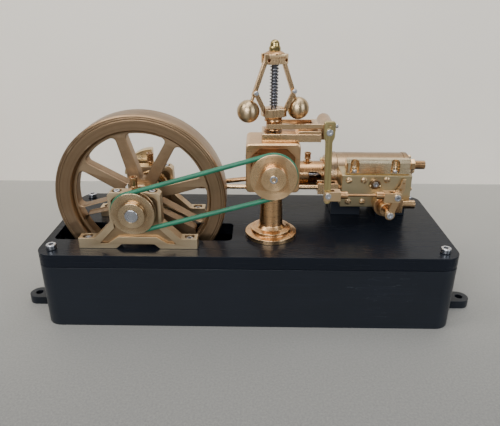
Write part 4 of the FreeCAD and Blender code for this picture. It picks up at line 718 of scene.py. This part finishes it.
def build_flywheel():
    """Rim with stepped faces and two turned lines, flat web with eight spokes, and the hub."""
    y = FLYWHEEL_Y
    centre = (CRANK[0], y, CRANK[2])
    half = 7.5
    # radius and depth along a face; the points within its flat band keep the worn-edge colour off it
    face = [(47.5, 0.7), (46.8, 0.0), (46.3, 0.0), (46.22, 0.22), (46.0, 0.22), (45.92, 0.0), (45.2, 0.0),
            (45.1, 0.3), (44.8, 0.3), (44.7, 0.0), (44.3, 0.0), (43.9, 0.0), (40.1, 0.0), (39.7, 0.0),
            (39.3, 0.0), (38.5, 0.8)]
    rim = [(radius, depth - half) for radius, depth in face]
    rim += [(38.5, -4.0), (38.1, -3.6), (37.4, -3.5), (37.4, 3.5), (38.1, 3.6), (38.5, 4.0)]
    rim += [(radius, half - depth) for radius, depth in face[::-1]]
    hub = [(SHAFT_BORE, -8.5), (8.2, -8.5), (9.0, -7.7), (9.0, 7.7), (8.2, 8.5), (SHAFT_BORE, 8.5)]
    grub_screw = [(0.0, 8.4), (1.4, 8.4), (1.4, 9.1), (0.7, 9.1), (0.6, 8.7), (0.0, 8.7)]
    stand_in("flywheel", "_rim", lathe(rim, centre, Y_AXIS, 180, 0.12), M_FLYWHEEL, 30.0)
    web = with_modifiers(web_mesh(38.2, 8.0, -3.5, 3.5, y, 0.5))
    stand_in("flywheel", "_web", web, M_SPOKES)
    stand_in("flywheel", "_hub", lathe(hub, centre, Y_AXIS, 96, 0.2), M_CRANK_TURNED)
    grub = lathe(grub_screw, (CRANK[0], y + 5.8, CRANK[2]), (0.26, 0.0, 0.97), 24, closed=False)
    settle("flywheel_grub_screw", grub, M_SCREW, "crank")


def build_crank():
    refine("crankshaft", M_SHAFT, "steel", 0.35, segments=3)
    build_flywheel()
    refine("drive_pulley", M_CRANK_TURNED, "satin_brass", 0.22, angle=60.0)
    refine("crank_web", M_WEB, "satin_brass", 0.4, clamp=False)
    refine("eccentric_sheave", M_CRANK_TURNED, "satin_brass", 0.15)
    refine("eccentric_rod", M_VALVE_ROD, "bronze", 0.18)
    refine("valve_rod", M_VALVE_ROD, "steel", 0.15)
    refine("connecting_rod", M_ROD, "bronze", 0.2)
    refine("crosshead", M_ROD, "bronze")
    refine("piston_rod", M_STEEL_ROD, "steel", 0.2)
    for node in BEARINGS:
        build_bearing(node)
    oil_cup("front_oil_cup", CRANK[0], BEARINGS["front_bearing"], 78.0, 7.6)
    oil_cup("rear_oil_cup", -59.6, BEARINGS["rear_bearing"], 78.0, 7.6)
    refine("drive_belt", M_BELT, "belt", 0.0)


# ---- Cylinder, guide and steam chest ----
def on_cylinder(x, radius, degrees):
    """A point on a circle round the cylinder's axis."""
    turn = radians(degrees)
    return (x, CYLINDER_AXIS[1] + radius * cos(turn), CYLINDER_AXIS[2] + radius * sin(turn))


def build_cylinder():
    refine("crosshead_guide", M_GUIDE, "bronze", 0.25)
    oil_cup("guide_oil_cup", 36.53, CYLINDER_AXIS[1], 76.7, 5.4)
    for node in ("cylinder_barrel", "cylinder_front_cover", "cylinder_rear_cover"):
        refine(node, M_CYLINDER, "satin_brass")
    refine("cylinder_pedestal", M_PEDESTAL, "black_anodised", 0.4, clamp=False)
    refine("valve_chest", M_CHEST, "satin_brass", 0.35, clamp=False)
    refine("valve_chest_cover", M_CHEST, "satin_brass", 0.35)
    places = ((58.0, 74.3), (66.7, 74.4), (79.9, 74.8), (58.4, 61.1), (66.8, 61.2), (90.3, 61.0))
    for i, (x, z) in enumerate(places, 1):
        dome_screw("chest_cover_screw_%d" % i, (x, CHEST_FRONT, z), FORWARD, "root", 1.9, 1.0,
                   M_CHEST_SCREW, slot_turn=0.7 * (i - 1) + 0.4)
    build_manifold()
    build_throttle_fittings()
    refine("exhaust_pipe", M_PIPE, "bronze", 0.25)
    refine("throttle_valve", M_THROTTLE, "bronze", clamp=False)
    refine("steam_inlet_pipe", M_PIPE, "bronze", 0.25)
    for i in range(1, 5):
        socket_screw("guide_flange_screw_%d" % i, on_cylinder(47.0, 10.2, 90.0 * i - 45.0), LEFT, "root",
                     1.5, 1.7, 1.4, M_FERRULE)
    for i in range(1, 7):
        degrees = 60.0 * i - 30.0
        hex_nut("rear_cover_nut_%d" % i, on_cylinder(99.5, 11.6, degrees), X_AXIS, "root",
                radians(degrees))


def build_manifold():
    """The exhaust manifold: a chamfered bar with two upright pockets, each with a cap screw at its foot."""
    low, high = (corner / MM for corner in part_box("exhaust_manifold"))
    section = [(low.y, low.z + 0.8), (low.y + 0.8, low.z), (high.y - 0.8, low.z), (high.y, low.z + 0.8),
               (high.y, high.z - 1.8), (high.y - 1.8, high.z), (low.y + 1.8, high.z), (low.y, high.z - 1.8)]
    bar = prism(section, low.x, high.x, across=LENGTH_WAYS)
    bar = with_modifiers(bar, (), 0.7, segments=1, angle=75.0, clamp=False)
    pocket = [(0.0, MANIFOLD_SEAT), (2.55, MANIFOLD_SEAT), (2.55, 84.2), (2.35, 85.4), (1.6, 86.3),
              (0.0, 86.6)]
    places = (60.9, 84.2)
    cutters = [lathe(pocket, (x, low.y + 0.6, 0.0), Z_AXIS, 48, closed=False) for x in places]
    bar = with_modifiers(bar, cutters, 0.16, angle=30.0)
    stand_in("exhaust_manifold", "_piece", bar, M_MANIFOLD)
    for i, x in enumerate(places, 1):
        socket_screw("manifold_screw_%d" % i, (x, low.y + 0.75, MANIFOLD_SEAT), Z_AXIS, "root", 1.6, 1.5, 1.5)


def build_throttle_fittings():
    """The throttle's gland with its screw, and the perforated angle beside it."""
    profile = [(0.0, 0.0), (3.1, 0.0), (3.1, 1.5), (2.7, 1.9), (0.0, 1.9)]
    gland = lathe(profile, (73.1, CHEST_FRONT, 72.6), FORWARD, 40, soften=0.15, closed=False)
    settle("throttle_gland", gland, M_DARK_BRONZE, "root", ())
    place, height = (73.1, CHEST_FRONT - 1.9, 72.9), 1.3
    socket = prism(hexagon(1.3, 0.3), height * 0.35, height + 1.0, place, FORWARD)
    head = with_modifiers(prism(hexagon(2.9), -0.2, height, place, FORWARD), [socket], 0.14, angle=30.0)
    settle("throttle_gland_screw", head, M_SCREW, "root")
    for i, x in enumerate((70.4, 75.9), 1):
        dome_screw("throttle_gland_nub_%d" % i, (x, -6.6, 71.4), FORWARD, "root", 0.85, 0.7, M_FERRULE)
    outline = [(84.2, 66.6), (88.6, 66.6), (90.4, 69.2), (90.4, 75.9), (88.5, 75.9), (87.4, 71.8)]
    plate = prism(outline, -7.4, -6.2, across=FRONT_WAYS)
    holes = [pin(radius, -9.0, -5.0, (x, 0.0, z), Y_AXIS, 18)
             for x, z, radius in ((89.2, 73.6, 0.5), (87.9, 69.6, 0.75))]
    settle("throttle_angle", with_modifiers(with_modifiers(plate, (), 0.18), holes), M_CLEVIS, "root", ())


# ---- Governor and its linkage ----
def spring_mesh(low, high, mean, wire, coils):
    """A coil spring standing on the governor's spindle."""
    shape = bmesh.new()
    steps, sides = 26 * coils, 10
    rings = []
    for step in range(steps + 1):
        t = step / steps
        turn = 2 * pi * coils * t
        height = low + wire / 2 + (high - low - wire) * t
        centre = Vector((GOVERNOR[0] + mean * cos(turn), GOVERNOR[1] + mean * sin(turn), height))
        outward = Vector((cos(turn), sin(turn), 0.0))
        rings.append([shape.verts.new(centre + outward * u + Vector((0, 0, v)))
                      for u, v in circle(wire / 2, sides)])
    for first, second in zip(rings, rings[1:]):
        for side in range(sides):
            following = (side + 1) % sides
            shape.faces.new((first[side], first[following], second[following], second[side]))
    shape.faces.new(rings[0])
    shape.faces.new(rings[-1][::-1])
    return mesh_of(shape)


def build_gearbox():
    """The bevel gearbox: a block with rounded corners and a shallow recess with cut corners in its front."""
    low, high = (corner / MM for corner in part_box("governor_gearbox"))
    middle = Vector(((low.x + high.x) / 2, 0.0, (low.z + high.z) / 2))
    half_u, half_v = (high.x - low.x) / 2, (high.z - low.z) / 2
    outline = rounded_profile(rectangle((-half_u, -half_v), (half_u, half_v)), 2.6, True, 5)
    case = prism(outline, low.y, high.y, middle, across=FRONT_WAYS)
    case = with_modifiers(case, (), 0.9, segments=3, angle=60.0, clamp=False)
    outline = rounded_profile(cut_corners(half_u - 2.9, half_v - 2.9, 4.2), 0.5, True, 2)
    recess = prism(outline, low.y - 1.0, low.y + 0.8, middle, across=FRONT_WAYS)
    bore = pin(2.7, -40.0, -21.0, (PULLEY[0], 0.0, PULLEY[2]), Y_AXIS, 40)
    case = with_modifiers(case, [recess, bore], 0.3, angle=50.0)
    stand_in("governor_gearbox", "_piece", case, M_GEARBOX)
    for i, (x, way) in enumerate(((-1.3, LEFT), (27.3, X_AXIS)), 1):
        dome_screw("gearbox_side_screw_%d" % i, (x, GOVERNOR[1], 92.0), way, "root", 1.4, 0.5, M_SCREW)


def on_governor(u, v, z):
    """A point from its places along and across the arms' plane and its height."""
    return Vector(GOVERNOR) + GOVERNOR_WAYS @ Vector((u, v, z))


def governor_slot(side, inner, near, far, low, high):
    """What is cut from a head of the governor for an arm or a link, out from near its middle."""
    ends = sorted((side * inner, side * 9.0))
    return prism(rectangle((ends[0], near), (ends[1], far)), low, high, GOVERNOR, across=GOVERNOR_WAYS)


def build_cap():
    """The governor's cap: a faceted block slotted for the two arms, a turned cone and an acorn nut."""
    block = prism(cut_corners(6.2, 4.9, 1.6), 141.0, 145.9, GOVERNOR, across=GOVERNOR_WAYS)
    cutters = []
    for side in (-1, 1):
        cutters.append(governor_slot(side, 2.4, -1.5, 1.5, 140.0, 148.0))
        cutters.append(pin(0.75, -7.0, 7.0, on_governor(side * ARM_PIVOT, 0.0, ARM_PIVOT_Z),
                                GOVERNOR_WAYS @ Vector(Y_AXIS), 20))
    stand_in("governor_cap", "_piece", with_modifiers(block, cutters, 0.3, clamp=False), M_CAP)
    cone = [(1.5, 145.6), (5.2, 145.6), (5.2, 146.1), (3.2, 147.2), (1.5, 147.2)]
    stand_in("governor_cap", "_cone", lathe(cone, GOVERNOR, Z_AXIS, 64, 0.25), M_GOVERNOR)
    acorn = [(0.0, 147.2), (2.9, 147.2), (3.0, 147.6), (3.0, 148.7), (2.6, 149.3), (2.45, 149.6)]
    for step in range(8):
        turn = radians(90.0 * step / 8)
        acorn.append((2.4 * cos(turn), 150.2 + 2.4 * sin(turn)))
    acorn.append((0.0, 152.6))
    stand_in("acorn_nut", "_piece", lathe(acorn, GOVERNOR, Z_AXIS, 48, closed=False), M_ACORN)


def build_sleeve():
    """The sliding sleeve: a faceted head slotted for the links on a turned cone, neck and collar."""
    bottom, top, bore = 107.4, 118.6, 1.55
    head = prism(cut_corners(6.1, 5.0, 1.8), top - 4.3, top, GOVERNOR, across=GOVERNOR_WAYS)
    cutters = [pin(bore, 100.0, 125.0, GOVERNOR, Z_AXIS, 32)]
    cutters += [governor_slot(side, 2.6, -3.1, -0.8, top - 4.3, top + 1.0) for side in (-1, 1)]
    stand_in("governor_sleeve", "_head", with_modifiers(head, cutters, 0.3, clamp=False), M_CAP)
    shank = [(radius, bottom + rise) for radius, rise in (
        (bore, 0.0), (5.0, 0.0), (5.0, 0.6), (3.8, 0.8), (3.8, 4.4), (4.8, 4.6), (4.8, 5.0), (4.6, 5.3),
        (4.6, 6.1), (5.2, 7.1), (bore, 7.1))]
    stand_in("governor_sleeve", "_shank", lathe(shank, GOVERNOR, Z_AXIS, 72, 0.15), M_GOVERNOR)


def build_ball_arm(side):
    """A square arm hung in the cap, thinned to a neck below the link's pin, and its turned ball."""
    sign = -1 if side == "left" else 1
    lean = radians(20.2)
    body = "ball_arm_" + side
    pivot = on_governor(sign * ARM_PIVOT, 0.0, ARM_PIVOT_Z)
    down = (GOVERNOR_WAYS @ Vector((sign * sin(lean), 0.0, -cos(lean)))).normalized()
    across = (GOVERNOR_WAYS @ Vector(Y_AXIS)).normalized()
    beside = across.cross(down)
    ways = Matrix((beside, across, down)).transposed()
    bar = prism(cut_corners(1.05, 1.05, 0.12), -1.5, 18.9, pivot, across=ways)
    bar = with_modifiers(bar, (), 0.22, angle=30.0)
    profile = [(0.0, 18.0), (0.85, 18.0), (0.85, 21.6), (1.15, 22.2), (0.0, 22.2)]
    neck = lathe(profile, pivot, down, 32, closed=False)
    stand_in(body, "_bar", joined([bar, neck]), M_ARM, 40.0)
    centre = pivot + down * 27.05
    profile = [(0.0, -5.85)]
    for step in range(1, 40):
        turn = radians(-90.0 + 180.0 * step / 40)
        profile.append((5.9 * cos(turn), 5.9 * sin(turn)))
    profile.append((0.0, 5.85))
    ball = lathe(profile, centre, Z_AXIS, 80, closed=False)
    material = metal("ball_brass_" + side, BALL, 0.31, Z_AXIS, tuple(centre), pitch=2.4, marks=0.3,
                     streak=0.08, anisotropy=0.85)
    stand_in(body, "_ball", ball, material, 60.0)
    peg = [(0.0, -3.5), (0.9, -3.45), (1.25, -3.1), (1.3, -2.75), (0.6, -2.7), (0.6, 1.6), (0.0, 1.6)]
    settle(body + "_pin", lathe(peg, pivot + down * 17.1, across, 28, closed=False), M_SCREW, body)


def build_link(side):
    """A flat link with rounded ends, from the arm's pin down to the sleeve's slot."""
    sign = -1 if side == "left" else 1
    top, foot = Vector((sign * 10.5, 126.95)), Vector((sign * 5.3, 116.7))
    along = (foot - top).normalized()
    beside = Vector((-along.y, along.x))
    outline = []
    for end, way in ((top, -1), (foot, 1)):
        first = atan2(beside.y * way, beside.x * way)
        for step in range(9):
            turn = first - pi * step / 8
            outline.append(end + 1.15 * Vector((cos(turn), sin(turn))))
    bar = prism(outline, -2.7, -1.2, GOVERNOR, across=GOVERNOR_WAYS @ FRONT_WAYS)
    stand_in("link_" + side, "_bar", with_modifiers(bar, (), 0.22, angle=30.0), M_ARM)


def build_levers():
    """The flat governor lever with its screws, the throttle's arm and the push rod's pins."""
    half = [(2.2, 5.6), (2.95, 4.9), (2.95, -2.2), (2.7, -3.4), (2.1, -4.5), (1.85, -5.6)]
    foot_u, foot_v, foot_radius = 1.2, -38.27, 1.8
    foot = [(foot_u + foot_radius, foot_v)]
    foot += [(foot_u + foot_radius * cos(radians(a)), foot_v + foot_radius * sin(radians(a)))
             for a in range(-20, -165, -20)]
    foot += [(foot_u - foot_radius, foot_v)]
    outline = half + foot + [(-u, v) for u, v in reversed(half)]
    plate = prism(outline, -25.2, -22.8, LEVER, across=FRONT_WAYS)
    holes = [pin(radius, -30.0, -20.0, (LEVER[0] + u, 0.0, LEVER[2] + v), Y_AXIS, 20)
             for u, v, radius in ((0.1, 3.5, 0.55), (foot_u, foot_v, 0.85))]
    mesh = with_modifiers(with_modifiers(plate, (), 0.22, angle=30.0, clamp=False), holes)
    stand_in("governor_lever", "_piece", mesh, M_LEVER)
    for name, place, axis, body, size in (
            ("lever_head_screw", (LEVER[0], -25.2, LEVER[2]), FORWARD, "governor_linkage", (1.75, 0.9, 1.5)),
            ("lever_side_screw", (44.95, -24.0, LEVER[2] + 3.2), X_AXIS, "governor_linkage", (1.1, 1.5, 1.0)),
            ("near_clevis_screw", (43.3, -26.7, 73.0), FORWARD, "push_rod", (1.65, 0.8, 1.5)),
            ("far_clevis_screw", (80.9, -26.7, 72.3), FORWARD, "push_rod", (1.75, 0.9, 1.5))):
        socket_screw(name, place, axis, body, *size)
    ring = [(0.8, 0.0), (2.05, 0.0), (2.05, 0.75), (1.75, 0.95), (2.05, 1.15), (2.05, 2.75), (1.75, 2.95),
            (2.05, 3.15), (2.05, 3.9), (0.8, 3.9)]
    for i, x in enumerate((50.2, 69.84), 1):
        ferrule = lathe(ring, (x, *PUSH_ROD[1:]), X_AXIS, 40, soften=0.1)
        settle("push_rod_ferrule_%d" % i, ferrule, M_FERRULE, "push_rod")
    refine("throttle_lever", M_CLEVIS, "bronze", 0.25)
    socket_screw("throttle_arm_screw", THROTTLE, FORWARD, "throttle_lever", 1.85, 1.0, 1.6)


def build_governor():
    refine("governor_column", M_COLUMN, "bronze", 0.2)
    build_gearbox()
    refine("governor_pulley", M_PULLEY, "bronze", 0.22, angle=60.0)
    socket_screw("governor_pulley_screw", PULLEY, FORWARD, "governor_pulley", 2.0, 0.9, 2.0)
    refine("governor_bracket", M_BRACKET, "bronze", 0.4, clamp=False)
    refine("governor_spindle", M_SPINDLE, "steel", 0.1)
    build_cap()
    build_sleeve()
    coil = spring_mesh(119.0, 140.6, 1.95, 0.7, 13)
    coil = stand_in("governor_spring", "_coil", coil, M_SPRING)
    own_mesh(coil)
    for side in ("left", "right"):
        build_ball_arm(side)
        build_link(side)
    refine("fork_lever", M_BRACKET, "bronze", 0.35)
    gusset = [(24.5, 106.6), (37.9, 106.6), (37.9, 108.2), (27.0, 108.2)]
    toe = rectangle((37.0, 102.5), (37.9, 106.7))
    for name, outline, low, high, bevel in (("bracket_gusset", gusset, -24.6, -9.0, 0.3),
                                            ("bracket_toe", toe, -25.2, -8.4, 0.25)):
        mesh = with_modifiers(prism(outline, low, high, across=FRONT_WAYS), (), bevel)
        settle(name, mesh, M_BRACKET, "root", ())
    refine("cross_shaft", M_SCREW, "steel", 0.1)
    refine("push_rod", M_CLEVIS, "bronze", 0.25)
    build_levers()


# ---- Camera, light and floor ----
def stage_material(name, colour, rough, grain, painted_front_shade=1.0):
    """Softly clouded paper or paint, with painted shade that darkens it to a cooler tone towards the viewer.
    """
    nodes = Nodes(name)
    point = nodes.millimetres()
    soft = nodes.noise(point, 0.006, 3.0)
    fine = nodes.noise(point, 0.9, 3.0, 0.7)
    dim = tuple(c * 0.93 for c in colour[:3]) + (1.0,)
    # painted shade: darker and cooler from the wall towards the viewer, standing in for the light falling off
    # there
    near = tuple(c * painted_front_shade * t for c, t in zip(colour, (0.95, 1.0, 1.08))) + (1.0,)
    base = nodes.mix(nodes.ramp(soft, 0.3, 0.7), colour, dim)
    depth = nodes.vector_math("DOT_PRODUCT", point, Y_AXIS)
    base = nodes.mix(nodes.ramp(depth, WALL_Y, -170.0), base, near)
    base = nodes.mix(nodes.ramp(fine, 0.3, 0.75, 0.0, grain), base, dim)
    nodes.shade(Base_Color=base, Roughness=rough, Normal=nodes.bump(fine, 0.05, 0.1))
    return nodes.material


def clear_from_behind(material):
    """Let the wall be looked through from its back, so that views from behind still show the object."""
    tree = material.node_tree
    surface = next(node for node in tree.nodes if node.type == "OUTPUT_MATERIAL").inputs["Surface"]
    painted = surface.links[0].from_socket
    clear = tree.nodes.new("ShaderNodeBsdfTransparent")
    side = tree.nodes.new("ShaderNodeNewGeometry")
    choice = tree.nodes.new("ShaderNodeMixShader")
    tree.links.new(side.outputs["Backfacing"], choice.inputs[0])
    tree.links.new(painted, choice.inputs[1])
    tree.links.new(clear.outputs[0], choice.inputs[2])
    tree.links.new(choice.outputs[0], surface)


def plane(name, corners, material):
    """A flat sheet of the set, which isn't part of the object."""
    mesh = bpy.data.meshes.new(name)
    mesh.from_pydata([tuple(Vector(c) * MM) for c in corners], [], [(0, 1, 2, 3)])
    mesh.materials.append(material)
    placed(name, mesh)


def area_light(name, place, aim, size, power, colour):
    data = bpy.data.lights.new(name, "AREA")
    data.shape = "RECTANGLE"
    data.size, data.size_y = (s * MM for s in size)
    data.energy = power
    data.color = colour
    lamp = placed(name, data)
    lamp.location = Vector(place) * MM
    lamp.rotation_euler = (Vector(aim) * MM - lamp.location).to_track_quat("-Z", "Y").to_euler()


def build_world():
    """A soft room: bright above and behind the object, dim low down and on the viewer's side."""
    world = bpy.data.worlds.new("studio")
    world.use_nodes = True
    tree = world.node_tree
    direction = tree.nodes.new("ShaderNodeTexCoord")
    lean = tree.nodes.new("ShaderNodeVectorMath")
    lean.operation = "DOT_PRODUCT"
    lean.inputs[1].default_value = (-0.1, 0.12, 0.98)
    level = tree.nodes.new("ShaderNodeMapRange")
    for key, value in (("From Min", -0.5), ("From Max", 0.9), ("To Min", 0.2), ("To Max", 0.42)):
        level.inputs[key].default_value = value
    tree.links.new(direction.outputs["Generated"], lean.inputs[0])
    tree.links.new(lean.outputs["Value"], level.inputs["Value"])
    tree.links.new(level.outputs["Result"], tree.nodes["Background"].inputs["Strength"])
    tree.nodes["Background"].inputs["Color"].default_value = (0.94, 0.97, 1.0, 1.0)
    SCENE.world = world


def build_stage():
    # the last number sets how dark the painted shade makes the floor towards the viewer
    floor = stage_material("floor_paper", rgb(173, 171, 165), 0.65, 0.3, 0.23)
    wall = stage_material("wall_paint", rgb(238, 231, 220), 0.8, 0.2)
    clear_from_behind(wall)
    left, right = -FLOOR_REACH, FLOOR_REACH
    plane("stage_floor", ((left, left, 0), (right, left, 0), (right, right, 0), (left, right, 0)), floor)
    plane("stage_wall", ((left, WALL_Y, 0), (right, WALL_Y, 0), (right, WALL_Y, 900), (left, WALL_Y, 900)),
          wall)
    area_light("key", (-420, -160, 640), (0, 0, 50), (300, 300), 2.0, (1.0, 0.97, 0.93))
    area_light("fill", (460, -380, 300), (0, 0, 60), (300, 300), 1.6, (0.9, 0.95, 1.0))
    area_light("window", (-160, -640, 400), (0, 0, 70), (460, 240), 4.5, (0.98, 0.99, 1.0))
    area_light("top", (60, 20, 600), (20, 60, 60), (620, 220), 2.0, (1.0, 0.99, 0.97))
    build_world()


def build_camera():
    """The photograph's viewpoint: 24 degrees above the horizon, square to the base's long side."""
    data = bpy.data.cameras.new("camera")
    data.sensor_width = 36.0
    data.lens = data.sensor_width * 499.76 / 500.0
    data.clip_start = 0.01
    camera = placed("camera", data)
    yaw, pitch, roll = -0.0125, 0.4175, -0.0039
    forward = Vector((sin(yaw) * cos(pitch), cos(yaw) * cos(pitch), -sin(pitch)))
    level = Vector((cos(yaw), -sin(yaw), 0.0))
    down = forward.cross(level)
    right = level * cos(roll) + down * sin(roll)
    down = -level * sin(roll) + down * cos(roll)
    basis = Matrix((right, -down, -forward)).transposed()
    camera.matrix_world = Matrix.Translation(Vector((4.1597, -278.2466, 174.286)) * MM) @ basis.to_4x4()
    SCENE.camera = camera


build_camera()
build_stage()
build_base()
build_crank()
build_cylinder()
build_governor()
